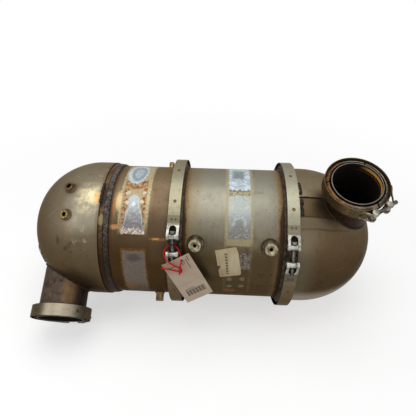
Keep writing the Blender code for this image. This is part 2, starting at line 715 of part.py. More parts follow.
def make_pipe_flange(name, mouth):
    """V flange welded round a pipe, half a band's width behind its open end."""
    profile = flange_profile(
        SMALL_BAND_RADIUS, SMALL_FOOT, PIPE_RADIUS + FIT, PIPE_HUB_RADIUS, HUB_REACH
    )
    frame = mouth @ Matrix.Translation((0, 0, -HALF_BAND)) @ Matrix.Rotation(math.pi, 4, "X")
    smooth(turned(name, profile, frame, FLANGE_STEEL, PIPE_STEPS), 20)


def make_outlet():
    """Outlet head of two pressed halves, split through the outlet pipe, and the outlet pipe."""
    bore = rod("outlet_bore", PIPE_BORE, -OUTLET_PIPE_REACH, 0, OUTLET_MOUTH, sides=PIPE_STEPS)
    across = Matrix.Rotation(-OUTLET_PIPE_ANGLE, 4, "X").to_3x3() @ Vector((0, 0, 1))
    for name, turn, side in (("outlet_head_upper", math.pi, 1), ("outlet_head_lower", 0, -1)):
        shift = Matrix.Translation(across * (side * SEAM_GAP / 2))
        frame = shift @ along_axis(OUTLET_CROWN) @ Matrix.Rotation(turn, 4, "Z")
        half = pressed(
            name, head_profile(*OUTLET_FORM), frame, DOME_STEEL, HEAD_SHEET, CAN_STEPS // 2, math.pi
        )
        cut(half, bore)
        smooth(half, 60)
    room = head_room("outlet_head_room", OUTLET_FORM, along_axis(OUTLET_CROWN), FIT + SEAM_GAP / 4)
    start = -OUTLET_PIPE_REACH + PIPE_ROOT
    pipe = tube("outlet_pipe", PIPE_BORE, PIPE_RADIUS, start, 0, OUTLET_MOUTH, BROWN_STEEL, PIPE_STEPS)
    cut(pipe, room)
    make_pipe_flange("outlet_pipe_flange", OUTLET_MOUTH)


def make_ports():
    """Bosses on the two cans: pressure ports of the filter, stub and probe of the catalyst."""
    foot = CAN_RADIUS - 0.004
    for name, (x, degrees) in PORTS.items():
        top = CAN_RADIUS + PORT_HEIGHT
        pad_top = CAN_RADIUS + PAD_HEIGHT
        edge = PORT_RADIUS * 0.12
        profile = [
            (0, top - PORT_BORE_DEPTH),
            (PORT_BORE, top - PORT_BORE_DEPTH),
            (PORT_BORE, top - PORT_SEAT_DEPTH),
            (PORT_SEAT_RADIUS, top),
            (PORT_RADIUS - edge, top),
            (PORT_RADIUS, top - edge),
            (PORT_RADIUS, pad_top + edge),
            (PAD_RADIUS, pad_top - edge),
            (PAD_RADIUS, foot),
            (0, foot),
        ]
        port = turned(name, profile, off_axis(x, math.radians(degrees)), PLATED_STEEL, SMALL_STEPS + 4)
        cut(port, can_room(name + "_room", x))
        smooth(port, 30)
    for name, x, angle, radius, height, hole, material in (
        ("drain_stub", STUB_PLACE, STUB_ANGLE, STUB_RADIUS, STUB_HEIGHT, STUB_BORE, BROWN_STEEL),
        ("catalyst_probe_fitting", PROBE_PLACE, PROBE_ANGLE, PROBE_RADIUS, PROBE_HEIGHT, PROBE_RADIUS / 2, BRASS),
    ):
        top = CAN_RADIUS + height
        edge = radius * 0.25
        profile = [
            (0, top - height / 2),
            (hole, top - height / 2),
            (hole, top),
            (radius - edge, top),
            (radius, top - edge),
            (radius, CAN_RADIUS + 0.005),
            (radius * 1.35, CAN_RADIUS + 0.001),
            (radius * 1.35, foot),
            (0, foot),
        ]
        stub = turned(name, profile, off_axis(-x, angle), material, SMALL_STEPS)
        cut(stub, can_room(name + "_room", -x))
        smooth(stub, 30)


def from_axis(x, radius, angle):
    """Point at this place along the axis, at this distance from it and this angle."""
    return Vector((x, -radius * math.cos(angle), radius * math.sin(angle)))


def can_surface(angle):
    """Distance from the axis to the can's own facets at this angle."""
    step = math.tau / CAN_STEPS
    aside = (angle - OUTLET_PIPE_ANGLE) % step - step / 2
    return CAN_RADIUS * math.cos(step / 2) / math.cos(aside)


def make_label():
    """Torn paper label that follows the can's facets."""
    body = bmesh.new()
    outline = [(LABEL_PLACE + share * LABEL_LENGTH, math.radians(a)) for share, a in LABEL_OUTLINE]
    body.faces.new([body.verts.new((x, angle, 0)) for x, angle in outline])
    step = math.tau / CAN_STEPS
    low = math.ceil((min(angle for _, angle in outline) - OUTLET_PIPE_ANGLE) / step)
    high = math.ceil((max(angle for _, angle in outline) - OUTLET_PIPE_ANGLE) / step)
    for number in range(low, high):
        fold = OUTLET_PIPE_ANGLE + number * step
        parts = body.verts[:] + body.edges[:] + body.faces[:]
        bmesh.ops.bisect_plane(body, geom=parts, plane_co=(0, fold, 0), plane_no=(0, 1, 0))
    off = FIT + LABEL_THICKNESS / 2
    for vert in body.verts:
        x, angle, _ = vert.co
        vert.co = from_axis(x, can_surface(angle) + off, angle)
    mesh = bpy.data.meshes.new("paper_label")
    body.to_mesh(mesh)
    body.free()
    label = place(bpy.data.objects.new("paper_label", mesh), Matrix(), LABEL_PAPER)
    paper = label.modifiers.new("paper", "SOLIDIFY")
    paper.thickness = LABEL_THICKNESS
    paper.offset = 0
    paper.use_even_offset = True


def make_tag():
    """Paper tag with its string hole, leaning on the front clamp."""
    half, top = TAG_WIDTH / 2, TAG_HEIGHT / 2
    outline = [(-half, -top), (half, -top), (half, top), (-half, top)]
    hole = arc(TAG_HOLE, TAG_HOLE_RADIUS, 0, math.tau, SMALL_STEPS)[:-1]
    frame = off_axis(TAG_PLACE, TAG_ANGLE) @ Matrix.Translation((0, TAG_LIFT, CAN_RADIUS + TAG_STANDOFF))
    frame = frame @ Matrix.Rotation(TAG_YAW, 4, "Y") @ Matrix.Rotation(TAG_ROLL, 4, "Z")
    flat_shape("paper_tag", [outline, hole], TAG_THICKNESS, frame, PAPER)


def smooth_route(points, spacing):
    """Points at even steps along a smooth curve through the given points."""
    ends = [2 * points[0] - points[1]] + points + [2 * points[-1] - points[-2]]
    fine = []
    for a, b, c, d in zip(ends, ends[1:], ends[2:], ends[3:]):
        for i in range(12):
            t = i / 12
            fine.append(0.5 * (2 * b + (c - a) * t + (2 * a - 5 * b + 4 * c - d) * t ** 2
                               + (3 * b - a - 3 * c + d) * t ** 3))
    fine.append(points[-1])
    length = sum((b - a).length for a, b in zip(fine, fine[1:]))
    count = round(length / spacing)
    route, run, wanted = [fine[0]], 0.0, length / count
    for a, b in zip(fine, fine[1:]):
        piece = (b - a).length
        while run + piece >= wanted and len(route) < count:
            route.append(a + (b - a) * ((wanted - run) / piece))
            wanted += length / count
        run += piece
    return route + [fine[-1]]


def make_string():
    """String from its free end round the front clamp's bolt and through the tag's hole."""
    points = [from_axis(x / 1000, r / 1000, math.radians(angle)) for x, r, angle in STRING_ROUTE]
    route = smooth_route(points, STRING_SPACING)
    drawing = bpy.data.curves.new("tag_string", "CURVE")
    drawing.dimensions = "3D"
    drawing.bevel_depth = STRING_RADIUS
    drawing.bevel_resolution = 2
    drawing.use_fill_caps = True
    spline = drawing.splines.new("POLY")
    spline.points.add(len(route) - 1)
    for point, place_at in zip(spline.points, route):
        point.co = (*place_at, 1)
    place(bpy.data.objects.new("tag_string", drawing), Matrix(), RED_STRING)


make_clamps()
make_cans()
make_inlet()
make_outlet()
make_ports()
make_label()
make_tag()
make_string()
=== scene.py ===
import math

import bmesh
import bpy
from mathutils import Matrix, Vector, noise


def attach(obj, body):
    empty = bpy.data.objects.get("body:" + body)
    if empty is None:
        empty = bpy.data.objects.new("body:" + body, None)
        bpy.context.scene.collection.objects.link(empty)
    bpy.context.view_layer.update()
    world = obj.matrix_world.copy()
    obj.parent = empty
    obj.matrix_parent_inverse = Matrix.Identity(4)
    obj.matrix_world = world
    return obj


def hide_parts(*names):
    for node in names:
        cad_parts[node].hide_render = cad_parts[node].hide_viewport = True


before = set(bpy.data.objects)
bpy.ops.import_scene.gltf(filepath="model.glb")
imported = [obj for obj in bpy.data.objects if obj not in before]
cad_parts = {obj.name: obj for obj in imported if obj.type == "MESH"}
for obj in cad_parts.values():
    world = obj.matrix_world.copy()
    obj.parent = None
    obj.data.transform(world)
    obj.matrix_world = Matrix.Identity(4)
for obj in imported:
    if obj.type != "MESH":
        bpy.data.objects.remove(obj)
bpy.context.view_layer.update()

# The whole assembly lies on its two large clamps and on the inlet clamp's latch, rolled forward.
# Its own frame has X along the cans from the joint between them, and angles about that axis
# start at the front and rise upwards.
def shift(x, y, z):
    return Matrix.Translation((x, y, z))


def spin(degrees, axis):
    return Matrix.Rotation(math.radians(degrees), 4, axis)


CRADLE = shift(-0.05175, 0.02924052, 0.1715) @ spin(-38.756192, "X")


def from_axis(x, radius, degrees):
    """Point of the assembly at this place along the axis, distance from it and angle about it."""
    angle = math.radians(degrees)
    return Vector((x, -radius * math.cos(angle), radius * math.sin(angle)))


def along_axis(x, degrees=0.0):
    """Frame on the axis: local Z along it, local X outwards at this angle."""
    face = Matrix(((0, 0, 1, 0), (-1, 0, 0, 0), (0, -1, 0, 0), (0, 0, 0, 1)))
    return shift(x, 0, 0) @ spin(-degrees, "X") @ face


def back_along_axis(x, degrees=0.0):
    """The same frame with local Z towards the inlet."""
    return along_axis(x, degrees) @ spin(180, "X")


def off_axis(x, degrees, lean=0.0, reach=0.0):
    """Frame whose local Z leaves the axis at this angle, with local X along the axis."""
    face = Matrix(((1, 0, 0, 0), (0, 0, -1, 0), (0, 1, 0, 0), (0, 0, 0, 1)))
    return shift(x, 0, 0) @ spin(-degrees, "X") @ face @ spin(lean, "Y") @ shift(0, 0, reach)


# Camera: square to the cans and a little to the right, about 0.93 m from their axis.
CAMERA_AT = (0.09458, -0.92628, 0.05537)
CAMERA_YAW = 1.945
CAMERA_ROLL = 1.988


def put(name, data):
    """A new object in the scene."""
    made = bpy.data.objects.new(name, data)
    bpy.context.scene.collection.objects.link(made)
    return made


lens = bpy.data.cameras.new("camera")
lens.lens = 32.509
lens.sensor_width = 36
camera = put("camera", lens)
camera.matrix_world = (CRADLE @ shift(*CAMERA_AT) @ spin(90, "X")
                       @ spin(CAMERA_YAW, "Y") @ spin(CAMERA_ROLL, "Z"))
bpy.context.scene.camera = camera
bpy.context.scene.view_settings.view_transform = "Standard"


# Floor, sky and lamps: a pale floor that keeps the part's shadow and turns white further out,
# a white sky as far as the camera, metal and glass see it, and three large soft lamps.
def tone(red, green, blue):
    """A colour as the eye sees it, 0 to 255, in the linear values that sockets take."""
    return tuple(
        (c / 12.92 if c <= 0.04045 else ((c + 0.055) / 1.055) ** 2.4)
        for c in (red / 255, green / 255, blue / 255)
    ) + (1.0,)


class Wire:
    """A socket of a material. Arithmetic on it adds Math nodes."""

    def __init__(self, tree, socket=None):
        self.tree = tree
        self.socket = socket

    def node(self, kind, settings=None, values=None, out=0):
        """Any node: its type, its settings, then its sockets' values or links. Gives its output."""
        made = self.tree.nodes.new("ShaderNode" + kind)
        for key, setting in (settings or {}).items():
            setattr(made, key, setting)
        for key, value in (values or {}).items():
            if isinstance(value, Wire):
                self.tree.links.new(value.socket, made.inputs[key])
            else:
                made.inputs[key].default_value = value
        if isinstance(out, tuple):
            return [Wire(self.tree, made.outputs[one]) for one in out]
        return Wire(self.tree, made.outputs[out]) if made.outputs else None

    def math(self, operation, *values):
        return self.node("Math", {"operation": operation}, dict(enumerate(values)))

    def pick(self, low, high, mode="MIX"):
        """The low colour where this is 0 and the high one where it is 1. Colours are 0 to 255 as
        the eye sees them, or four linear values."""
        ends = [tone(*end) if isinstance(end, tuple) and len(end) == 3 else end for end in (low, high)]
        return self.node("Mix", {"data_type": "RGBA", "blend_type": mode},
                         {0: self, 6: ends[0], 7: ends[1]}, out=2)


for sign, operation in (("add", "ADD"), ("sub", "SUBTRACT"), ("mul", "MULTIPLY"), ("truediv", "DIVIDE")):
    setattr(Wire, f"__{sign}__", lambda one, other, kind=operation: one.math(kind, one, other))
    setattr(Wire, f"__r{sign}__", lambda one, other, kind=operation: one.math(kind, other, one))
Wire.__abs__ = lambda one: one.math("ABSOLUTE", one)


def ramp(value, low, high):
    """0 up to low, 1 from high on and smooth between, or the other way where low is the larger."""
    return value.node("MapRange", {"interpolation_type": "SMOOTHSTEP"},
                      {"Value": value, "From Min": low, "From Max": high})


def seen_straight(start):
    """1 for the rays by which the camera, metal and glass see something."""
    camera_ray, glossy, through = start.node(
        "LightPath", out=("Is Camera Ray", "Is Glossy Ray", "Is Transmission Ray"))
    return camera_ray.math("MINIMUM", camera_ray + glossy + through, 1)


def cleared(look):
    """A wire to start from in a material or world whose nodes are cleared."""
    look.use_nodes = True
    look.node_tree.nodes.clear()
    return Wire(look.node_tree)


FLOOR_RADIUS = 14
floor_paint = bpy.data.materials.new("studio_floor")
paint = cleared(floor_paint)
floor_place = paint.node("TexCoord", out="Object")
far_out = ramp(paint.node("VectorMath", {"operation": "LENGTH"}, {0: floor_place}, out="Value"), 0.35, 1.3)
mottle = paint.node("TexNoise", {}, {"Vector": floor_place, "Scale": 6, "Detail": 3})
near_floor = paint.node("AddShader", {}, {
    0: paint.node("BsdfDiffuse", {}, {
        "Color": mottle.pick((0.60, 0.60, 0.60, 1), (0.64, 0.64, 0.64, 1))}),
    1: paint.node("Emission", {}, {"Color": (1, 1, 1, 1), "Strength": seen_straight(paint) * 0.54}),
})
white_floor = paint.node("Emission", {}, {
    "Color": (1, 1, 1, 1), "Strength": 0.45 + seen_straight(paint) * 0.55})
paint.node("OutputMaterial", {}, {
    "Surface": paint.node("MixShader", {}, {0: far_out, 1: near_floor, 2: white_floor})})
body = bmesh.new()
bmesh.ops.create_circle(body, cap_ends=True, segments=96, radius=FLOOR_RADIUS)
floor_mesh = bpy.data.meshes.new("studio_floor")
body.to_mesh(floor_mesh)
body.free()
floor_mesh.materials.append(floor_paint)
put("studio_floor", floor_mesh)

sky = bpy.data.worlds.new("studio_sky")
air = cleared(sky)
air.node("OutputWorld", {}, {"Surface": air.node("Background", {}, {
    "Color": (1, 1, 1, 1), "Strength": 0.34 + seen_straight(air) * 0.66})})
bpy.context.scene.world = sky


def soft_lamp(name, place, aim, size, power):
    light = bpy.data.lights.new(name, "AREA")
    light.shape = "DISK"
    light.size = size
    light.energy = power
    lamp = put(name, light)
    lamp.location = place
    lamp.rotation_mode = "QUATERNION"
    lamp.rotation_quaternion = (Vector(aim) - Vector(place)).to_track_quat("-Z", "Y")


soft_lamp("lamp_above", (-0.1, 0.1, 1.9), (0, 0, 0.2), 1.7, 14)
soft_lamp("lamp_left", (-1.6, -0.9, 1.3), (0, 0, 0.2), 1.0, 5)
soft_lamp("lamp_front", (0.7, -1.9, 1.2), (0, 0, 0.2), 1.4, 6)


# Tag string: soft twisted red string, 2.4 mm thick, three strands laid together. It hangs in a loop
# behind the front clamp's bolt, runs through the tag's hole and is tied in one knot over it.
STRING_RADIUS = 0.0012
STRING_SPACING = 0.0013
STRANDS = 3
STRING_ROUTE = (                  # millimetres from the joint and from the axis, and degrees
    (-20.2, 192.5, -20.8), (-10.2, 189.9, -21.6), (0.3, 187.2, -22.7), (11.2, 184.5, -23.9),
    (17.3, 183.3, -24.1), (19.8, 183.4, -22.8), (17.6, 184.4, -21.7), (12.1, 186.2, -20.7),
    (5.8, 188.2, -19.5), (-2.3, 191.7, -17.3), (-9.6, 191.3, -15.4), (-14.9, 188.6, -12.7),
    (-14.8, 182.4, -9.9), (-10.4, 176.4, -8.4), (-5.2, 172.2, -7.9), (-0.5, 171.15, -7.8),
    (4.1, 172.0, -7.9), (9.7, 174.8, -8.8), (14.6, 177.2, -10.9), (17.4, 179.8, -13.4),
    (19.4, 184.1, -15.0), (20.0, 186.4, -15.8), (19.6, 188.0, -16.9), (18.4, 188.4, -19.2),
    (17.1, 187.7, -21.8), (16.0, 185.5, -24.5), (14.9, 182.9, -26.7),
)


EDGE_TINT = (0.42, 0.38, 0.33, 1.0)      # how dark old steel stays where it is seen edge on


class Coat:
    """A material in the making: colour, roughness, metal, and a bump in metres, laid coat over coat."""

    def __init__(self, name):
        self.made = bpy.data.materials.new(name)
        self.start = cleared(self.made)
        self.own = self.places(CRADLE)

    def places(self, where):
        """Points in a frame of the assembly."""
        return self.start.node("Mapping", {"vector_type": "TEXTURE"}, {
            "Vector": self.start.node("TexCoord", out="Object"),
            "Location": where.to_translation(), "Rotation": where.to_euler()})

    def axes(self, place, unit=1000):
        """X, Y and Z of a point, in millimetres."""
        return [axis * unit for axis in self.start.node("SeparateXYZ", {}, {"Vector": place}, out=(0, 1, 2))]

    def cloud(self, size, detail=3, rough=0.55, stretch=None):
        """Soft noise from 0 to 1, with clouds about this many millimetres across."""
        place = self.own
        if stretch:
            place = place.node("VectorMath", {"operation": "MULTIPLY"}, {0: place, 1: stretch}, out="Vector")
        return place.node("TexNoise", {}, {
            "Vector": place, "Scale": 1000 / size, "Detail": detail, "Roughness": rough}, out=0)

    def lay(self, colour, rough, metal, bump):
        self.colour, self.rough, self.metal, self.bump = colour, rough, metal, bump
        return self

    def add(self, mask, colour=None, rough=None, metal=None, bump=None):
        """A stain, patch or scale wherever the mask is 1."""
        if colour:
            self.colour = mask.pick(self.colour, colour)
        if rough is not None:
            self.rough = self.rough + mask * (rough - self.rough)
        if metal is not None:
            self.metal = self.metal + mask * (metal - self.metal)
        if bump is not None:
            self.bump = self.bump + mask * bump
        return self

    def done(self):
        bump = self.start.node("Bump", {}, {"Height": self.bump, "Strength": 1.0, "Distance": 1.0})
        shader = self.start.node("BsdfPrincipled", {}, {
            "Base Color": self.colour, "Roughness": self.rough, "Metallic": self.metal,
            "Specular IOR Level": 0.3, "Specular Tint": EDGE_TINT, "Normal": bump})
        self.start.node("OutputMaterial", {}, {"Surface": shader})
        return self.made


def open_finish(name):
    """A new coat and its clouds, and along, round and height on the assembly in mm and degrees."""
    coat = Coat(name)
    x, y, z = coat.axes(coat.own)
    return coat, coat.cloud, x, z.math("ARCTAN2", z, y * -1) * math.degrees(1), z


def string_finish():
    coat, cloud, *_ = open_finish("red_string")
    fluff = cloud(0.9, 3, 0.7)
    soil = cloud(14, 3)
    colour = fluff.pick((150, 12, 18), (228, 34, 38))
    colour = (ramp(soil, 0.55, 0.8) * 0.4).pick(colour, (120, 20, 20))
    return coat.lay(colour, 0.72 + fluff * 0.2, 0.0, fluff * 0.00025).done()


def smooth_route(points, spacing):
    """Points at even steps along a smooth curve through the given points."""
    ends = [2 * points[0] - points[1]] + points + [2 * points[-1] - points[-2]]
    fine = []
    for a, b, c, d in zip(ends, ends[1:], ends[2:], ends[3:]):
        for i in range(12):
            t = i / 12
            fine.append(0.5 * (2 * b + (c - a) * t + (2 * a - 5 * b + 4 * c - d) * t ** 2
                               + (3 * b - a - 3 * c + d) * t ** 3))
    fine.append(points[-1])
    length = sum((b - a).length for a, b in zip(fine, fine[1:]))
    count = round(length / spacing)
    route, run, wanted = [fine[0]], 0.0, length / count
    for a, b in zip(fine, fine[1:]):
        piece = (b - a).length
        while run + piece >= wanted and len(route) < count:
            route.append(a + (b - a) * ((wanted - run) / piece))
            wanted += length / count
        run += piece
    return route + [fine[-1]], length


def to_mesh(body, where=None):
    """Closes a bmesh with its faces turned outwards, set in its place on the assembly."""
    bmesh.ops.recalc_face_normals(body, faces=body.faces)
    if where is not None:
        body.transform(CRADLE @ where)
    mesh = bpy.data.meshes.new("mesh")
    body.to_mesh(mesh)
    body.free()
    return mesh


def skin(rings, where=None, closed=False, kinds=None):
    """Mesh over rings of points, the last joined to the first or else both ends capped. A stretch
    takes the higher number of its two rings' kinds as its finish."""
    body = bmesh.new()
    rows = [[body.verts.new(point) for point in ring] for ring in rings]
    count, kinds = len(rows[0]), kinds or [0] * len(rows)
    for i in range(0 if closed else 1, len(rows)):
        for k in range(count):
            face = body.faces.new((rows[i - 1][k - 1], rows[i - 1][k], rows[i][k], rows[i][k - 1]))
            face.material_index = max(kinds[i - 1], kinds[i])
    for end in () if closed else (rows[0], rows[-1]):
        for k in range(count // 2 - 1):
            body.faces.new((end[k], end[k + 1], end[-k - 2], end[-k - 1]))
    return to_mesh(body, where)


def round_line(points, sides, reach, centre=None):
    """Mesh round a line of points. It closes into a ring where a centre is given."""
    rings, side, last = [], None, len(points) - 1
    for i, point in enumerate(points):
        before = points[i - 1] if i or centre else point
        after = points[(i + 1) % (last + 1)] if i < last or centre else point
        along = (after - before).normalized()
        if centre:
            side = point - centre
        elif side is None:
            side = along.orthogonal()
        side = (side - along * side.dot(along)).normalized()
        up = along.cross(side)
        rings.append([point + (side * math.cos(a) + up * math.sin(a)) * reach(i, a)
                      for a in (math.tau * k / sides for k in range(sides))])
    return skin(rings, closed=centre is not None)


def add_piece(name, mesh, finishes, stands_for=(), sharp=38):
    """Puts a mesh that is drawn in its place into the scene as a piece of the part."""
    piece = put(name, mesh)
    mesh.name = name
    for finish in finishes:
        mesh.materials.append(finish)
    mesh.shade_smooth()
    mesh.set_sharp_from_angle(angle=math.radians(sharp))
    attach(piece, "root")
    if stands_for:
        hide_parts(*stands_for)
    return piece


string_points = [CRADLE @ from_axis(x / 1000, r / 1000, a) for x, r, a in STRING_ROUTE]
string_line, string_length = smooth_route(string_points, STRING_SPACING)
red_string = string_finish()


def strand_reach(place, angle):
    """Three strands twisted together once in about 7 mm, with a frayed end at each side."""
    lobe = abs(math.cos(STRANDS / 2 * (angle - place * STRING_SPACING / 0.0071 * math.tau / STRANDS)))
    end = min(place, len(string_line) - 1 - place)
    flare = 1.12 if end < 2 else 1.0
    return STRING_RADIUS * (0.80 + 0.24 * lobe) * flare


string = add_piece("red_tag_string", round_line(string_line, 12, strand_reach),
                   [red_string], ("tag_string",), 80)
knot_at = CRADLE @ from_axis(0.0186, 0.1862, -23.6)
knot_line = [
    knot_at + (CRADLE.to_3x3() @ Vector((
        math.sin(t) + 2 * math.sin(2 * t), -1.1 * math.sin(3 * t), math.cos(t) - 2 * math.cos(2 * t),
    ))) * 0.00085
    for t in (math.tau * i / 72 for i in range(72))
]
knot = add_piece("tag_string_knot", round_line(knot_line, 10, lambda i, a: 0.00112, knot_at),
                 [red_string], (), 80)


# Paper tag: a 60 by 120 mm manila card, a little bowed and soiled, punched for its string. It leans
# on the head of the front clamp's bolt. Plain bars and rules stand where a tag is filled in.
TAG_WIDTH = 0.0603
TAG_HEIGHT = 0.1206
TAG_THICKNESS = 0.0008
TAG_HOLE = (0.0102, 0.0516)
TAG_HOLE_RADIUS = 0.0026
TAG_BARS = (                      # centre, length and width in millimetres
    (-14.5, 44.0, 17.0, 2.0), (23.0, 51.0, 1.7, 14.0), (18.0, 38.5, 1.7, 27.0),
    (12.5, 46.5, 1.5, 11.0), (8.0, 44.0, 1.5, 10.0), (-8.0, -25.5, 22.0, 1.7),
)
TAG_BLOCK = (2.0, -36.5, 42.0, 16.0)
TAG_CREASE = -9.0
TAG_FRAME = off_axis(0.0321, -31.6) @ shift(0, -0.0004, 0.1767) @ spin(10.9, "Y") @ spin(24.8, "Z")


def carved(mesh, cutters):
    """The mesh with the cutters' room taken out of it."""
    blank = put("blank", mesh)
    tools = [put("cutter", cutter) for cutter in cutters]
    for tool in tools:
        step = blank.modifiers.new("cut", "BOOLEAN")
        step.operation = "DIFFERENCE"
        step.solver = "EXACT"
        step.object = tool
    made = bpy.data.meshes.new_from_object(blank.evaluated_get(bpy.context.evaluated_depsgraph_get()))
    for used in [blank] + tools:
        bpy.data.objects.remove(used)
    return made


def turned(profile, where, steps, span=math.tau, ripple=None, lined=()):
    """Mesh of a closed (radius, height) outline turned about local Z, all round or part of it.
    The stretches of the outline that are lined take the piece's second finish."""
    body = bmesh.new()
    count = steps if span == math.tau else steps + 1
    rings = []
    for place, (radius, height) in enumerate(profile):
        if radius < 1e-7:
            rings.append([body.verts.new((0, 0, height))] * count)
            continue
        ring = []
        for step in range(count):
            angle = span * step / steps
            r, h = ripple(place, angle, radius, height) if ripple else (radius, height)
            ring.append(body.verts.new((r * math.cos(angle), r * math.sin(angle), h)))
        rings.append(ring)
    for place, (low, high) in enumerate(zip(rings, rings[1:] + rings[:1])):
        for a in range(steps):
            b = (a + 1) % count
            corners = list(dict.fromkeys((low[a], low[b], high[b], high[a])))
            if len(corners) > 2:
                body.faces.new(corners).material_index = int(place in lined)
    if span != math.tau:
        for end in (0, -1):
            body.faces.new([ring[end] for ring in rings])
    return to_mesh(body, where)


def plug(radius, low, high, where, steps=48):
    return turned([(0, high), (radius, high), (radius, low), (0, low)], where, steps)


def tag_finish():
    coat, cloud, *_ = open_finish("manila_card")
    u, v, _ = coat.axes(coat.places(CRADLE @ TAG_FRAME))
    fibre = cloud(1.3, 4, 0.7)
    soil = cloud(26, 4, 0.6)
    colour = soil.pick((186, 166, 144), (212, 192, 170))
    colour = (ramp(u * 0.5 + v, 0, 54) * ramp(u, 30, -16) * 0.8).pick(colour, (178, 128, 102))
    colour = (ramp(fibre, 0.55, 0.8) * 0.35).pick(colour, (212, 196, 176))
    coat.lay(colour, 0.78 + fibre * 0.15, 0.0, fibre * 0.00006 + soil * 0.0002)

    def rule(cu, cv, length, width):
        """A printed bar of this length and width about a point of the card."""
        return ramp(abs(u - cu), length / 2 + 0.25, length / 2 - 0.25) * ramp(
            abs(v - cv), width / 2 + 0.25, width / 2 - 0.25)

    for bar in TAG_BARS:
        coat.add(rule(*bar) * ramp(fibre, 0.25, 0.5) * 0.85, (58, 50, 48))
    stripes = ramp(abs(u.math("FRACT", u * 0.29 + u.math("SINE", u * 0.9) * 0.22) - 0.5), 0.18, 0.26)
    coat.add(rule(*TAG_BLOCK) * (0.08 + stripes * 0.72), (52, 44, 44))
    crease = ramp(abs(v - TAG_CREASE - u * 0.08), 0.55, 0.1)
    coat.add(crease * 0.5, (112, 92, 78), bump=-0.0001)
    return coat.done()


def bowed_card():
    columns, rows = 25, 49

    def corner(i, j, side):
        x, y = (i / (columns - 1) - 0.5) * TAG_WIDTH, (j / (rows - 1) - 0.5) * TAG_HEIGHT
        bow = 0.0006 * math.cos(math.pi * x / TAG_WIDTH) + 0.0009 * (y / TAG_HEIGHT) ** 2
        curl = 0.0012 * max(0.0, -x / TAG_WIDTH - y / TAG_HEIGHT - 0.55)
        return x, y, bow + curl - 0.0005 + side * TAG_THICKNESS / 2

    return skin([[corner(i, j, 1) for i in range(columns)] + [corner(i, j, -1) for i in range(columns)[::-1]]
                 for j in range(rows)], TAG_FRAME)


tag_hole = plug(TAG_HOLE_RADIUS, -0.004, 0.004,
                TAG_FRAME @ shift(*TAG_HOLE, 0), 24)
add_piece("manila_tag", carved(bowed_card(), [tag_hole]), [tag_finish()], ("paper_tag",))


# Bricks, mats and gaskets: cell-structured ceramic wrapped in a fibre mat inside each can, and two
# flat graphite rings between the V flanges. All are closed in, and keep their CAD solids.
CELLS_PER_METRE = 480


def brick_finish():
    coat, cloud, *_ = open_finish("cell_ceramic")
    _, y, z = coat.axes(coat.own, CELLS_PER_METRE)
    wall = ramp(abs(y.math("FRACT", y) - 0.5), 0.36, 0.44)
    rib = ramp(abs(z.math("FRACT", z) - 0.5), 0.36, 0.44)
    soot = cloud(50, 4)
    cells = wall.math("MAXIMUM", wall, rib)
    # The openings between the cell walls are painted dark: painted shade down channels that are not modelled.
    colour = cells.pick((38, 34, 30), soot.pick((96, 88, 76), (150, 142, 124)))
    return coat.lay(colour, 0.85 + soot * 0.1, 0.0, cells * 0.0003).done()


def two_tone(name, dark, pale, grain, rough, metal, bump, fine=None, span=None, stain=None):
    """Dark to pale over one cloud, which also makes it rougher. The bump follows a finer cloud where
    one is given. A stain is a cloud, the range of it that shows, its strength, and what it shows."""
    coat, cloud, *_ = open_finish(name)
    rub = cloud(*grain)
    share = ramp(rub, *span) if span else rub
    coat.lay(share.pick(dark, pale), rough[0] + rub * rough[1], metal, (cloud(*fine) if fine else rub) * bump)
    if stain:
        spread, low, high, strength, *paint = stain
        coat.add(ramp(cloud(*spread), low, high) * strength, *paint)
    return coat.done()


def dress(node, finish):
    """Gives a CAD solid its finish."""
    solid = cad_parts[node]
    solid.data.materials.clear()
    solid.data.materials.append(finish)
    return solid


FIBRE = {"rough": (0.8, 0.15), "metal": 0.0, "bump": 0.0004}
brick_paint = brick_finish()
mat_paint = two_tone("fibre_mat", (170, 164, 150), (214, 208, 194), (3, 5, 0.7, (1, 3, 3)), **FIBRE)
gasket_paint = two_tone("graphite_ring", (34, 34, 35), (62, 62, 64), (2, 5, 0.7, (1, 3, 3)), **FIBRE)
for node, finish in (("catalyst_brick", brick_paint), ("filter_brick", brick_paint),
                     ("catalyst_mat", mat_paint), ("filter_mat", mat_paint),
                     ("front_gasket", gasket_paint), ("rear_gasket", gasket_paint)):
    dress(node, finish)


# Cans: two twelve-inch cans of rolled 1.5 mm stainless sheet. Heat has turned them olive and brown,
# and each carries a column of faded, scaly marks where plates were once etched and stuck on.
CAN_RADIUS = 0.1525
SHEET = 0.0015
CATALYST_LENGTH = 0.170
FILTER_LENGTH = 0.2424
FLANGE_FACE = 0.0009
MM_PER_DEGREE = CAN_RADIUS * 1000 * math.pi / 180


def rounded(outline, radius):
    """A closed outline with its corners taken off by a small curve."""
    made = []
    count = len(outline)
    for i, here in enumerate(outline):
        before, after = Vector(outline[i - 1]), Vector(outline[(i + 1) % count])
        here = Vector(here)
        back, on = before - here, after - here
        if here.x < 1e-7 or back.length < 1e-7 or on.length < 1e-7 or back.angle(on) > math.radians(150):
            made.append(tuple(here))
            continue
        start = here + back * min(radius / back.length, 0.45)
        end = here + on * min(radius / on.length, 0.45)
        made.append(tuple(start))
        made.append(tuple(start * 0.25 + here * 0.5 + end * 0.25))
        made.append(tuple(end))
    return made


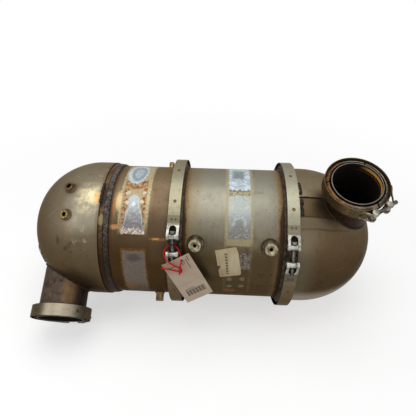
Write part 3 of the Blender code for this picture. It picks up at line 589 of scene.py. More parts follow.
def sheet_coat(coat, height, pale, dark, low, high, metal, rough):
    """Satin sheet steel with streaks round the axis, smudges and dark pits, pale high up and dark brown low
    down as painted light and shade.
    """
    cloud = coat.cloud
    drift = cloud(70, 4, 0.6)
    roll = cloud(7, 4, 0.65, (1, 0.12, 0.12))
    smudge = cloud(22, 5, 0.68)
    # Painted light and shade: the pale tone high up, the dark brown tone low down, between the heights low
    # and high.
    colour = ramp(height + (drift - 0.5) * 60, low, high).pick(dark, pale)
    colour = (ramp(roll, 0.42, 0.70) * 0.3).pick(colour, (0.80, 0.76, 0.68, 1), "MULTIPLY")
    colour = (ramp(smudge, 0.52, 0.74) * 0.6).pick(colour, (0.70, 0.64, 0.55, 1), "MULTIPLY")
    coat.lay(colour, rough + (smudge - 0.5) * 0.30 + (drift - 0.5) * 0.1, metal,
             (roll - 0.5) * 0.00003 + (drift - 0.5) * 0.0010)
    coat.add(ramp(cloud(5.5, 2, 0.5), 0.685, 0.72) * 0.55, (62, 48, 32), 0.7, 0.3, -0.00005)


def masks(along, around):
    """Masks that are 1 within an oval and within a field of the can, given its place in mm along and
    in degrees. An oval takes its middle and half sizes in mm, a field its limits."""
    def oval(x, degrees, wide, tall, soft=0.25):
        u, v = (along - x) / wide, (around - degrees) * (MM_PER_DEGREE / tall)
        return ramp(u * u + v * v, 1 + soft, 1 - soft)

    def field(low, high, bottom, top, soft=1.2):
        turn = soft / MM_PER_DEGREE
        return (ramp(along, low - soft, low + soft) * ramp(along, high + soft, high - soft)
                * ramp(around, bottom - turn, bottom + turn) * ramp(around, top + turn, top - turn))

    return oval, field


def scratches(coat, along, around, marks, colour):
    """Fine bright scratches: mm along, degrees, slope and reach in mm."""
    for run, lift, turn, reach in marks:
        line = (around - lift) * MM_PER_DEGREE - (along - run) * turn
        mark = ramp(abs(line), 0.8, 0.15) * ramp(abs(along - run), reach, reach * 0.5)
        coat.add(mark * 0.35, colour, 0.3, None, -0.00005)


def catalyst_can_finish():
    coat, cloud, along, around, height = open_finish("catalyst_can_steel")
    # Lit and shaded tones of the sheet's painted light and shade.
    sheet_coat(coat, height, (122, 106, 82), (64, 47, 25), -60, 100, 0.85, 0.42)
    wave = cloud(12, 3) - 0.5
    fray = cloud(2.8, 3, 0.7)
    flake = cloud(4.5, 4, 0.7)
    x = along + wave * 4 + (fray - 0.5) * 6
    a = around + wave * 1.6 + (fray - 0.5) * 2.4
    oval, field = masks(x, a)
    # heat tints beside the weld and over the can's right half, with painted highlights on them, and the can
    # darker just before the clamp
    coat.add(ramp(x, -126, -137) * 0.75, (72, 48, 28), 0.5)
    coat.add(oval(-129, 22, 4, 26, 0.9) * 0.5, (170, 116, 66), 0.36)
    # painted highlight: a cream glow beside the weld
    coat.add(oval(-121, 25, 5.5, 21, 0.95) * 0.6, (218, 194, 146), 0.34)
    coat.add(oval(-125, 3.5, 9, 5, 0.95) * 0.6, (198, 142, 92), 0.38)
    coat.add(field(-54, -14, -24, 40, 9) * 0.5, (82, 65, 50))
    coat.add(oval(-35, -5, 20, 3.4, 0.9) * 0.4, (140, 98, 56), 0.36)
    # painted highlight in the orange streak
    coat.add(oval(-39, -5, 7, 1.8, 0.9) * 0.55, (206, 154, 88), 0.32)
    coat.add(ramp(x, -14, -4) * 0.7, (66, 50, 32), 0.5)
    # the column: pale borders and a rusty field of flakes between them
    edges = ramp(abs(x + 117), 3.6, 1.0) + ramp(abs(x + 60), 5.5, 1.8)
    coat.add(edges * ramp(a, -5, 13) * ramp(a, 84, 76) * (0.25 + ramp(flake, 0.35, 0.6) * 0.4),
                (204, 192, 156), 0.5, 0.4)
    grit = ramp(cloud(3.2, 3, 0.6), 0.34, 0.66)
    cream = flake.pick((176, 150, 112), (222, 204, 166))
    coat.add(field(-114, -62, -1, 76) * 0.75, cream, 0.6, 0.2, 0.00004)
    arc = ramp(abs(a - 39.5 - abs(x + 90) * 0.18), 5.0, 2.0) * ramp(abs(x + 89), 26, 22)
    sides = ramp(abs(x + 88), 11, 19) * ramp(a, 44, 36)
    rust = field(-113, -63, -1, 70) * (arc + sides * 0.9 + 0.12).math("MINIMUM", arc + sides * 0.9 + 0.12, 1)
    clumps = ramp(cloud(6.5, 5, 0.7), 0.40, 0.56)
    coat.add(rust * clumps * 0.95, grit.pick((104, 62, 24), (182, 120, 54)), 0.65, 0.15)
    icy = ramp(flake, 0.3, 0.65).pick((156, 172, 182), (214, 222, 222))
    coat.add(masks(x + (grit - 0.5) * 3, a)[0](-93, 59.5, 23.5, 46, 0.14), icy, 0.5, 0.35, 0.00008)
    core = oval(-90.5, 58, 16, 34, 0.3) * (1 - oval(-90.5, 58, 10, 22, 0.5) * 0.6)
    coat.add(core * (0.55 + grit * 0.3), (118, 134, 144), 0.45)
    # a bell shape with a crusted foot
    half = 11.0 + ramp(a, 22, 13) * 7.5 + ramp(a, 13, -3) * 6.5
    body = ramp(abs(x + 87.2) - half, 1.2, -1.2) * ramp(a, -2.2, -1.0) * ramp(a, 25, 23.5)
    head = oval(-89, 24.5, 12.5, 17, 0.2)
    patina = ramp(cloud(8, 5, 0.7), 0.34, 0.66)
    metal_grey = ramp(a, 24, 10).pick(patina.pick((146, 152, 152), (184, 190, 190)),
                                      patina.pick((120, 118, 118), (158, 158, 158)))
    coat.add(head, flake.pick((150, 160, 164), (200, 208, 208)), 0.45, 0.4, 0.00006)
    coat.add(body, metal_grey, 0.42, 0.55, 0.00006)
    rim = ramp(abs(abs(x + 87.2) - half + 2.0), 1.8, 0.4) * ramp(a, -1, 4)
    coat.add(body * rim * 0.5, (184, 194, 198), 0.5)
    coat.add(body * ramp(abs(a - 5.0 - wave * 6), 4.4, 1.6) * 0.35, (96, 84, 82), 0.5)
    spikes = cloud(4, 3, 0.7, (1, 0.3, 0.3))
    crust = body * ramp(a + (spikes - 0.5) * 14, 3.2, 1.4)
    coat.add(crust * 0.9, grit.pick((140, 122, 104), (250, 240, 226)), 0.6, 0.2, 0.0001)
    coat.add(oval(-88.7, 22.5, 4.0, 5, 0.7) * 0.4, (226, 230, 228), 0.4)
    for spot in ((-103.6, 23.7), (-72.5, 24.6), (-104, 32.4), (-69.6, 32.6)):
        coat.add(oval(*spot, 6.4, 6.6, 0.3) * 0.4, (146, 124, 88), 0.45, 0.4)
        coat.add(oval(*spot, 4.8, 5.0, 0.4) * (0.4 + grit * 0.3), (224, 218, 196), 0.45, 0.4)
    coat.add(field(-103, -70, -3.6, -1.6, 0.8) * 0.7, (92, 62, 32), 0.6, 0.2)
    # a plate's grey imprint, fading downwards
    fade = ramp(a, -62, -40)
    plate_edge = field(-113, -58, -66, -12.8, 1.0)
    coat.add(plate_edge * fade * ramp(flake, 0.36, 0.56) * 0.9, (116, 72, 30), 0.6, 0.2, 0.00003)
    plate = field(-109.5, -61, -67, -15.0, 0.8)
    coat.add(plate * (0.35 + fade * 0.65), flake.pick((74, 64, 54), (132, 122, 110)),
                0.48, 0.5, 0.00005)
    coat.add(oval(-85, -21, 15, 9, 0.9) * 0.65, (62, 56, 62), 0.4)
    coat.add(oval(-102, -55, 12, 14, 0.8) * ramp(flake, 0.4, 0.6) * 0.7, (150, 86, 34), 0.6, 0.2)
    return coat.done()


def filter_can_finish():
    coat, cloud, along, around, height = open_finish("filter_can_steel")
    # Lit and shaded tones of the sheet's painted light and shade.
    sheet_coat(coat, height, (138, 135, 121), (76, 64, 43), -55, 78, 0.85, 0.46)
    wave = cloud(11, 3) - 0.5
    fray = cloud(2.8, 3, 0.7)
    flake = cloud(4.5, 4, 0.7)
    x = along + wave * 4 + (fray - 0.5) * 6
    a = around + wave * 2.0 + (fray - 0.5) * 2.4
    oval, field = masks(x, a)
    # rusty tints at both ends, and beside each flange a dark band, wider low down, that is painted shade in
    # the gap at the clamp
    coat.add(ramp(x, 70, 20) * 0.55, (130, 112, 74))
    coat.add(ramp(x + (flake - 0.5) * 24, 34, 20) * 0.5, (138, 106, 60), 0.5, 0.4)
    coat.add(ramp(x + (fray - 0.5) * 30, 27, 18) * 0.45, (108, 68, 32), 0.6, 0.3)
    lower_half = ramp(a, 32, 8)
    # painted shade: dark band in the gap beside the front flange
    coat.add(ramp(x - lower_half * 6, 20, 15) * 0.85, (52, 38, 25), 0.55)
    coat.add(ramp(x, 200, 226) * 0.5, (130, 108, 72), 0.46)
    coat.add(ramp(x + (flake - 0.5) * 30, 211, 221) * ramp(a, -40, 10) * ramp(a, 165, 125) * 0.5,
                (152, 120, 74), 0.5, 0.3)
    coat.add(ramp(x + (fray - 0.5) * 34, 216, 224) * ramp(a, -10, 24) * ramp(a, 165, 125) * 0.55,
                (126, 78, 38), 0.6, 0.3)
    # painted shade: dark band in the gap beside the rear flange
    coat.add(ramp(x + lower_half * 8, 222, 228) * 0.85, (48, 36, 25), 0.55)
    rusty = ramp(cloud(3.6, 3, 0.6), 0.60, 0.68) * ramp(x, 196, 214)
    coat.add(rusty * 0.8, (120, 62, 26), 0.7, 0.1)
    # the column: cream glue lines, then from the top an icy patch, brown lace and two faint rings
    lines = ramp(abs(x - 107.5), 4.4, 1.4) + ramp(abs(x - 160.5), 4.4, 1.4)
    glue = lines * ramp(a, -16, 2) * ramp(a, 86, 80)
    coat.add(glue * (0.3 + ramp(flake, 0.38, 0.6) * 0.35), (176, 166, 126), 0.6, 0.2, 0.00004)
    glue = lines * ramp(a, 0, -12) * ramp(a, -64, -50)
    coat.add(glue * ramp(flake, 0.42, 0.6) * 0.6, (116, 90, 50), 0.6, 0.2, 0.00004)
    coat.add(field(110, 158.5, -8, 82, 1.5) * 0.45, (160, 154, 126), 0.5)
    icy = ramp(cloud(9, 5, 0.7), 0.36, 0.64).pick((158, 174, 186), (218, 226, 230))
    coat.add(field(111, 157.5, 38.5, 80, 1.8), icy, 0.5, 0.35, 0.00007)
    coat.add(field(119, 144, 53, 69, 4.5) * 0.8, (118, 128, 132), 0.5)
    coat.add(ramp(abs(a - 47 - abs(x - 131) * 0.22), 1.5, 0.5) * ramp(abs(x - 131), 16, 12) * 0.5,
                (150, 162, 168))
    for lift, swing in ((38.2, 14), (34.6, -18)):
        lace = ramp(abs(a - lift - wave * swing), 1.1, 0.3) * ramp(abs(x - 134), 24, 20)
        coat.add(lace * ramp(fray, 0.36, 0.5) * 0.85, (108, 80, 40), 0.6, 0.2, 0.00004)
    coat.add(field(111.5, 157, 17, 33, 2) * 0.8, flake.pick((146, 158, 162), (188, 194, 188)),
                0.5, 0.4)
    for spot in ((117.0, 31.4), (148.0, 31.9)):
        ring = oval(*spot, 8.6, 8.6, 0.2) * (1 - oval(*spot, 6.2, 6.2, 0.2))
        coat.add(ring * ramp(fray, 0.38, 0.5) * 0.7, (176, 162, 120), 0.5, 0.3, 0.00008)
    for spot in ((118, 22.5), (150, 22)):
        coat.add(oval(*spot, 6, 6, 0.5) * ramp(flake, 0.4, 0.6) * 0.7, (208, 198, 160), 0.5, 0.3)
    # a grey patch with an arch in it and a crusted foot, closed by a smear of glue
    grey = ramp(a, 17, -1).pick(flake.pick((128, 134, 134), (172, 178, 176)),
                                flake.pick((74, 72, 68), (140, 138, 132)))
    coat.add(field(112.5, 157.5, -2.5, 17.5, 1.6), grey, 0.45, 0.55, 0.00008)
    arch = oval(134, 8, 15, 22, 0.3) * (1 - oval(134, 7.5, 10, 15, 0.4))
    coat.add(arch * ramp(a, 6, 9) * ramp(flake, 0.34, 0.55) * 0.6, (186, 192, 190), 0.5, 0.4, 0.00006)
    coat.add(oval(134, 7.5, 9, 14, 0.5) * 0.35, (104, 106, 104), 0.5)
    streak = ramp(abs((a - 2.4 + wave * 9).math("PINGPONG", a - 2.4 + wave * 9, 2.2) - 1.1), 0.5, 0.1)
    coat.add(field(114, 156, -1.5, 6) * streak * ramp(flake, 0.40, 0.55) * 0.55, (178, 178, 170), 0.5)
    coat.add(ramp(abs(a + 5.2), 1.7, 0.9) * ramp(abs(x - 134), 28, 25) * (0.25 + flake * 0.4),
                (160, 142, 98), 0.6, 0.2)
    lower = field(138, 160, -28, -13.5)
    coat.add(lower * 0.75, ramp(flake, 0.36, 0.6).pick((50, 46, 44), (136, 130, 120)), 0.45, 0.5, 0.00005)
    for spot in ((117.6, -39.0), (144.9, -38.4), (118.6, -48.4), (144.4, -47.8)):
        coat.add(oval(*spot, 5.6, 5.6, 0.3) * 0.7, (118, 108, 84), 0.5, 0.4)
    coat.add(oval(120, -56, 12, 9, 0.8) * ramp(flake, 0.4, 0.6) * 0.7, (140, 80, 32), 0.6, 0.2)
    for spot in ((180.3, -32.8), (205.4, -32.3), (181.4, -46.5), (209.4, -45.7)):
        coat.add(oval(*spot, 2.1, 2.1, 0.3) * 0.9, (44, 26, 16), 0.7, 0.2)
    scratches(coat, along, around, ((36, 33, -0.85, 14), (60, 27, 0.4, 9)), (182, 178, 160))
    return coat.done()


soot = two_tone("soot", (12, 10, 9), (40, 34, 30), (5, 4, 0.7), (0.8, 0.15), 0.0, 0.0003)


def tube_outline(bore, outside, low, high, edge=0.0003):
    return rounded([(outside, low), (outside, high), (bore, high), (bore, low)], edge)


def can(name, node, low, high, finish):
    bore = CAN_RADIUS - SHEET
    add_piece(name, turned(tube_outline(bore, CAN_RADIUS, low, high), along_axis(0), 180),
              [finish], (node,))


can("catalyst_can_sheet", "catalyst_can", -CATALYST_LENGTH, -FLANGE_FACE, catalyst_can_finish())
can("filter_can_sheet", "filter_can", FLANGE_FACE, FILTER_LENGTH - FLANGE_FACE, filter_can_finish())


# V flanges: turned steel rings welded round the cans' ends and the pipes, with a cone on the back
# that the clamps' retainers draw together. Dark, dry heat scale.
LARGE_BAND_RADIUS = 0.1715
SMALL_BAND_RADIUS = 0.0644
BAND_SHEET = 0.0015
BAND_WIDTH = 0.0254
HALF_BAND = BAND_WIDTH / 2
RETAINER_SHEET = 0.0016
RETAINER_SLACK = 0.0007
CROWN_HALF = 0.0045
LEG_HALF = 0.0113
LEG_SLACK = 0.00045
LIP_SLACK = 0.0008
FIT = 0.0003
HUB_REACH = 0.016
PIPE_RADIUS = 0.0508
PIPE_BORE = PIPE_RADIUS - 0.002
LARGE_FOOT = CAN_RADIUS + 0.0052
SMALL_FOOT = PIPE_RADIUS + 0.0045
OUTLET_HEAD_RADIUS = 0.1576
HEAD_SHEET = 0.002
OUTLET_ANGLE = 32.4
INLET_REACH = 0.2257
OUTLET_REACH = 0.2143
INLET_MOUTH = off_axis(-0.262, -66.2, 1.3, INLET_REACH)
OUTLET_MOUTH = off_axis(FILTER_LENGTH + 0.1187, OUTLET_ANGLE, 0.0, OUTLET_REACH)


def scale_finish(name, dark, pale, metal=0.55, rough=0.55, size=9):
    """Steel under a dry brown or grey heat scale, rubbed paler here and there."""
    coat, cloud, along, around, height = open_finish(name)
    crust = cloud(size, 5, 0.65)
    fine = cloud(1.6, 3, 0.6)
    colour = ramp(crust, 0.28, 0.72).pick(dark, pale)
    colour = (ramp(fine, 0.62, 0.78) * 0.4).pick(colour, (120, 70, 36))
    return coat.lay(colour, rough + (crust - 0.5) * 0.3, metal, crust * 0.0002 + fine * 0.00006).done()


flange_scale = scale_finish("flange_scale", (38, 32, 28), (92, 82, 70))


def crest_radius(band_radius):
    return band_radius - BAND_SHEET - RETAINER_SLACK - RETAINER_SHEET / 2


def flange_outline(band_radius, foot_radius, bore, hub_radius, hub_reach):
    """Half of a V joint: lip, cone parallel to a retainer's leg, and hub."""
    crest = crest_radius(band_radius)
    lean = math.atan2(LEG_HALF - CROWN_HALF, crest - foot_radius)
    inside = RETAINER_SHEET / 2 / math.cos(lean) + LEG_SLACK
    lip = crest - RETAINER_SHEET / 2 - LIP_SLACK

    def cone(radius):
        return CROWN_HALF + (crest - radius) * math.tan(lean) - inside

    return rounded([(bore, FLANGE_FACE), (lip, FLANGE_FACE), (lip, cone(lip)),
                    (hub_radius, cone(hub_radius)), (hub_radius, hub_reach), (bore, hub_reach)], 0.0005)


hub = OUTLET_HEAD_RADIUS - HEAD_SHEET - FIT
for node, where, reach in (
    ("catalyst_outlet_flange", back_along_axis(0), HUB_REACH),
    ("filter_inlet_flange", along_axis(0), HUB_REACH),
    ("filter_outlet_flange", back_along_axis(FILTER_LENGTH), HUB_REACH),
    ("outlet_head_flange", along_axis(FILTER_LENGTH), HUB_REACH + 0.008),
):
    shape = flange_outline(LARGE_BAND_RADIUS, LARGE_FOOT, CAN_RADIUS + FIT, hub, reach)
    add_piece(node + "_turned", turned(shape, where, 160), [flange_scale], (node,))
for node, mouth in (("inlet_pipe_flange", INLET_MOUTH), ("outlet_pipe_flange", OUTLET_MOUTH)):
    shape = flange_outline(SMALL_BAND_RADIUS, SMALL_FOOT, PIPE_RADIUS + FIT, PIPE_RADIUS + 0.0022, HUB_REACH)
    where = mouth @ shift(0, 0, -HALF_BAND) @ spin(180, "X")
    add_piece(node + "_turned", turned(shape, where, 96), [flange_scale], (node,))


# Inlet head: a domed pressing of 2 mm stainless sheet. Its skirt is slipped over a ring on the
# catalyst can, and one heavy arc weld runs round from the ring down to the can.
INLET_HEAD_RADIUS = 0.1593
INLET_RIM = 0.159
INLET_SKIRT = 0.0365
DOME_START = -(INLET_RIM + INLET_SKIRT)
INLET_FORM = (INLET_HEAD_RADIUS, INLET_SKIRT, 0.1448, 1.75, 2.46)      # also crown, fullness, flatness
BOSS_BORE = 0.0058
FITTING_BORE = 0.0045
RING_OVERLAP = 0.026
RING_REACH = 0.011
BEAD_WIDTH = 0.011
DOME_RINGS = 44


def head_radius(form, depth, grow=0.0):
    """Radius of a head's outside at this depth past the end of its skirt."""
    radius, _, crown, fullness, flatness = form
    share = min(max(depth / (crown + grow), 0.0), 1.0)
    return (radius + grow) * (1 - share ** fullness) ** (1 / flatness)


def offset(line, distance):
    """A (radius, height) line moved to the left of its own direction."""
    moved = []
    for i, (r, h) in enumerate(line):
        r0, h0 = line[max(i - 1, 0)]
        r1, h1 = line[min(i + 1, len(line) - 1)]
        run = math.hypot(r1 - r0, h1 - h0)
        moved.append((max(r - (h1 - h0) / run * distance, 0.0), h + (r1 - r0) / run * distance))
    return moved


def head_outline(form):
    """Section of a head's sheet, outside first, and the stretches of it that lie inside."""
    radius, skirt, crown, fullness, flatness = form
    middle, depth = radius - HEAD_SHEET / 2, crown - HEAD_SHEET / 2
    line = [(middle, -skirt), (middle, -skirt * 0.5)]
    for i in range(DOME_RINGS):
        height = math.sin(math.pi / 2 * i / DOME_RINGS)
        line.append((middle * (1 - height ** fullness) ** (1 / flatness), depth * height))
    line.append((0.0, depth))
    outside, inside = offset(line, -HEAD_SHEET / 2), offset(line, HEAD_SHEET / 2)
    outside[-1], inside[-1] = (0.0, depth + HEAD_SHEET / 2), (0.0, depth - HEAD_SHEET / 2)
    count = len(line)
    return outside + inside[::-1], range(count, 2 * count - 1)


def dome_spot(x, degrees):
    """Frame on the inlet dome's outside, local Z square to the sheet."""
    radius, _, depth, fullness, flatness = INLET_FORM
    here = x / depth
    height = radius * (1 - here ** fullness) ** (1 / flatness)
    slope = -height / flatness / (1 - here ** fullness) * fullness * here ** (fullness - 1) / depth
    return off_axis(DOME_START - x, degrees, 0.0, height) @ spin(math.degrees(math.atan(slope)), "Y")


def inlet_head_finish():
    coat, cloud, along, around, height = open_finish("inlet_dome_steel")
    # Lit and shaded tones of the sheet's painted light and shade.
    sheet_coat(coat, height, (128, 118, 98), (86, 71, 50), -100, 110, 0.85, 0.42)
    wave = cloud(18, 4) - 0.5
    fray = cloud(4, 4, 0.7)
    x = along + wave * 14 + (fray - 0.5) * 5
    a = around + wave * 7 + (fray - 0.5) * 2
    oval, _ = masks(x, a)
    # painted shade: darker towards the end of the dome, where it turns away from the light
    coat.add(ramp(x, -215, -320) * 0.6, (86, 73, 56))
    # a broad painted highlight with a broken painted reflection and its orange edge before the tack weld,
    # painted shade along the bottom, pale dirt below the reflection and dark marks beside the pipe
    # painted highlight: a broad paler sheen
    coat.add(oval(-187, 18, 44, 48, 0.9) * 0.4, (178, 172, 154))
    # painted shade along the bottom of the dome
    coat.add(ramp(height + wave * 30, -122, -138) * 0.6, (42, 30, 15))
    # painted reflection, broken up by a cloud, with a brighter core and an orange edge towards the ring
    broken_reflection = ramp(cloud(15, 6, 0.72), 0.44, 0.58)
    coat.add(oval(-186, 25, 25, 32, 0.95) * broken_reflection * 0.66, (212, 198, 154), 0.37)
    coat.add(oval(-187, 27, 12, 12, 0.95) * 0.3, (226, 212, 168), 0.4)
    coat.add(oval(-167, 26, 5, 12, 0.9) * 0.75, (214, 158, 84), 0.36)
    dirt = oval(-192, -3, 36, 40, 0.9) * ramp(cloud(4, 2, 0.5), 0.61, 0.68)
    coat.add(dirt * 0.35, (152, 142, 112), 0.5, 0.3)
    for spot in ((-165, 57, 7, 8), (-189, 2, 7, 7), (-207, -7.6, 6, 7), (-184, -7.7, 4, 5), (-172, 48, 5, 5)):
        coat.add(oval(*spot, 0.8) * ramp(fray, 0.46, 0.58) * 0.55, (172, 164, 130), 0.5, 0.3)
    for spot in ((-246, -8.4, 4, 11), (-226, -14, 5, 5), (-217, -11.5, 4, 6)):
        coat.add(oval(*spot, 0.8) * 0.5, (56, 42, 36), 0.5)
    for spot in ((-229.7, 34.8), (-228.1, 11.6)):
        coat.add(oval(*spot, 19, 19, 0.6) * 0.3, (96, 84, 68), 0.5)
        coat.add(masks(along, around)[0](*spot, 13, 13, 0.25) * 0.6, (52, 40, 28), 0.6)
    scratches(coat, along, around, ((-264, 13.5, 0.75, 16), (-222, 47, -0.5, 10)), (186, 178, 156))
    coat.add(ramp(x, -166, -160) * 0.45, (96, 78, 54), 0.45)
    return coat.done()


def ring_finish():
    coat, cloud, along, around, height = open_finish("ring_and_weld_steel")
    crust = cloud(6, 5, 0.7)
    fine = cloud(1.8, 3)
    oval, _ = masks(along, around)
    # Painted shade: the ring and its weld turn darker and browner low down.
    lower = ramp(height + (crust - 0.5) * 60, 60, -70)
    colour = ramp(crust, 0.3, 0.7).pick((70, 48, 32), (122, 96, 70))
    coat.lay(lower.pick(colour, (48, 31, 17)), 0.5 + (crust - 0.5) * 0.3, 0.6, crust * 0.0001)
    coat.add(ramp(abs(along + 158.2), 1.4, 0.4) * 0.7, (30, 22, 15), 0.7)
    coat.add(oval(-153, 8.5, 6, 11, 0.5) * 0.7, (152, 138, 102), 0.4)
    coat.add(oval(-155, 27.5, 7, 26, 0.4) * ramp(crust, 0.3, 0.5) * 0.85,
                (48, 43, 40), 0.65, 0.4)
    weld = ramp(along + (crust - 0.5) * 6, -148.8, -147.4)
    grey = ramp(crust, 0.32, 0.7).pick((42, 38, 37), (118, 112, 106))
    # the weld's grey goes to dark brown low down with the same painted shade
    coat.add(weld, (lower * 0.8).pick(grey, (32, 23, 15)), 0.62, 0.45, fine * 0.0003)
    coat.add(weld * ramp(cloud(9, 3), 0.56, 0.64) * 0.45, (84, 60, 38), 0.6)
    edges = ramp(abs(along + 148.3), 1.8, 0.5) + ramp(along, -139.6, -137.6)
    return coat.add(edges * 0.6, (26, 20, 16), 0.7).done()


def weld_outline():
    """The ring's section: under the skirt, bare, then the bead down to the can."""
    inner, outer = CAN_RADIUS + FIT, INLET_HEAD_RADIUS - HEAD_SHEET - FIT
    under, bare = -INLET_RIM - RING_OVERLAP, -INLET_RIM + RING_REACH
    turns = [math.pi / 2 * i / 9 for i in range(1, 9)]
    bead = [(inner + (outer - inner) * math.cos(t), bare + BEAD_WIDTH * math.sin(t)) for t in turns]
    line = [(inner, under), (outer, under), (outer, bare)] + bead + [(inner, bare + BEAD_WIDTH)]
    return line, range(2, 3 + len(bead))


ring_line, bead_places = weld_outline()


def weld_ripple(place, angle, radius, height):
    """Scales of an arc weld, one every few millimetres, and its uneven edges."""
    if place not in bead_places:
        return radius, height
    share = (place - 2) / len(bead_places)
    spot = Vector((math.cos(angle) * 14, math.sin(angle) * 14, share * 1.3))
    scales = abs(math.sin(angle * 130 + 1.5 * math.cos(math.pi * share) + 2 * noise.noise(spot)))
    rough = noise.noise(spot * 2.3) * 0.0006
    push = (0.0004 * scales - 0.0006 + rough) * math.sin(math.pi * min(share + 0.12, 1))
    swing = noise.noise(spot * 0.8) * 0.0016 * share * (1 - share) * 4
    return min(radius + push, INLET_HEAD_RADIUS - HEAD_SHEET), height + swing


weld_steel = ring_finish()
add_piece("inlet_ring_and_weld", turned(ring_line, along_axis(0), 720, ripple=weld_ripple),
          [weld_steel], ("inlet_head_ring",), 70)

inlet_outline, inlet_inside = head_outline(INLET_FORM)
inlet_blank = turned(inlet_outline, back_along_axis(DOME_START), 160, lined=inlet_inside)
BOSS_SPOT = dome_spot(0.0342, 34.8)
FITTING_SPOT = dome_spot(0.0326, 11.6)
inlet_holes = [
    plug(PIPE_BORE, -INLET_REACH, 0, INLET_MOUTH, 128),
    plug(BOSS_BORE, -0.012, 0.006, BOSS_SPOT, 32),
    plug(FITTING_BORE, -0.012, 0.006, FITTING_SPOT, 32),
]
add_piece("inlet_dome", carved(inlet_blank, inlet_holes), [inlet_head_finish(), soot],
          ("inlet_head",), 60)


# Pipes and their welds: four-inch pipe, 2 mm wall, cut to the head's shape and welded round.
# The inlet pipe is scorched dark with one orange stripe, the outlet pipe has a bright rim.
def meets_head(mouth, form, start, side, radius, angle):
    """How far down a pipe, from its mouth, a line of its wall reaches the head."""
    inside, outside = -0.19, 0.0
    for _ in range(26):
        middle = (inside + outside) / 2
        point = mouth @ Vector((radius * math.cos(angle), radius * math.sin(angle), middle))
        depth = (point.x - start) * side
        if math.hypot(point.y, point.z) > head_radius(form, depth):
            outside = middle
        else:
            inside = middle
    return outside


def scorched_finish(name, dark, pale, stripe=None):
    coat, cloud, along, around, height = open_finish(name)
    crust = cloud(12, 5, 0.65)
    fine = cloud(2.4, 3, 0.6)
    colour = ramp(crust, 0.25, 0.75).pick(dark, pale)
    if stripe:
        low, high = stripe
        wide = ramp(along + crust * 10, low - 2, low + 8) * ramp(along + crust * 10, high + 8, high - 4)
        colour = (wide * (0.55 + ramp(crust, 0.5, 0.7) * 0.4)).pick(colour, (124, 94, 64))
        colour = (ramp(along, high - 6, high + 8) * 0.85).pick(colour, (38, 26, 15))
    spots = ramp(cloud(4.5, 2, 0.5), 0.64, 0.70)
    colour = (spots * 0.35).pick(colour, (122, 110, 96))
    return coat.lay(colour, 0.5 + (crust - 0.5) * 0.3, 0.6, crust * 0.00015 + fine * 0.00003).done()


def bore_finish():
    """Soot with a heat-tinted gold crescent just inside the mouth, on the side away from the cans."""
    coat, cloud, *_ = open_finish("heat_tinted_bore")
    x, _, rise = coat.axes(coat.places(CRADLE @ OUTLET_MOUTH))
    depth = rise * -1
    crust = cloud(5, 4, 0.7)
    coat.lay(crust.pick((9, 8, 7), (30, 25, 21)), 0.8, 0.1, crust * 0.0003)
    gold = ramp(abs(depth - 8 + (crust - 0.5) * 3), 5.0, 2.0) * ramp(x, 12, 40)
    coat.add(gold, (240, 176, 84), 0.5, 0.25)
    coat.add(ramp(abs(depth - 17), 1.6, 0.5) * ramp(x, 0, 36) * 0.7, (150, 96, 54), 0.5, 0.3)
    return coat.done()


def bead_ring(name, points, thickness, where=None):
    """An arc weld bead along a line on the assembly, all round or from end to end."""
    centre = sum(points, Vector()) / len(points) if where is None else None

    def reach(i, angle):
        spot = points[i] * 300
        return thickness * (0.86 + 0.16 * abs(math.sin(i * 0.9)) + 0.32 * noise.noise(spot)
                            + 0.05 * math.sin(angle * 3 + i))

    mesh = round_line(points, 10, reach, centre)
    mesh.transform(CRADLE)
    add_piece(name, mesh, [bead_steel], (), 75)


bead_steel = scale_finish("weld_bead_steel", (24, 19, 16), (70, 62, 56), 0.5, 0.6, 4)
rim_steel = two_tone("worn_rim_steel", (58, 54, 50), (140, 138, 130), (6, 4), (0.32, 0.2), 0.85, 0.00005)
OUTLET_SKIRT = 0.0197
OUTLET_FORM = (OUTLET_HEAD_RADIUS, OUTLET_SKIRT, 0.1682, 2.1, 2.0)
OUTLET_CROWN = FILTER_LENGTH + HALF_BAND + 0.0008 + OUTLET_SKIRT
PIPE_STEPS = 128


def side_pipe(name, mouth, form, start, side, finish, bore):
    """A pipe from its mouth down to the head, and the bead that it stands in."""
    angles = [math.tau * i / PIPE_STEPS for i in range(PIPE_STEPS)]
    feet = [[meets_head(mouth, form, start, side, radius, a) + FIT for a in angles]
            for radius in (PIPE_RADIUS, PIPE_BORE)]
    edge = 0.0006
    line = ([(PIPE_RADIUS, -0.2), (PIPE_RADIUS, -0.02), (PIPE_RADIUS, -edge),
             (PIPE_RADIUS - edge * 0.3, -edge * 0.3),
             (PIPE_RADIUS - edge, 0), (PIPE_BORE + edge, 0), (PIPE_BORE + edge * 0.3, -edge * 0.3),
             (PIPE_BORE, -edge), (PIPE_BORE, -0.02), (PIPE_BORE, -0.2)])

    def trim(place, angle, radius, height):
        if place in (0, len(line) - 1):
            return radius, feet[place > 0][round(angle / math.tau * PIPE_STEPS) % PIPE_STEPS]
        return radius, height

    mesh = turned(line, mouth, PIPE_STEPS, ripple=trim, lined=(7, 8))
    for face in mesh.polygons:
        centre = (CRADLE @ mouth).inverted() @ face.center
        if centre.z > -0.0026:
            face.material_index = 2
    add_piece(name, mesh, [finish, bore, rim_steel], (name.replace("_tube", ""),), 40)
    toe = PIPE_RADIUS + 0.0006
    points = [mouth @ Vector((toe * math.cos(a), toe * math.sin(a), foot))
              for a, foot in zip(angles, feet[0])]
    bead_ring(name.replace("tube", "weld"), points, 0.0021)


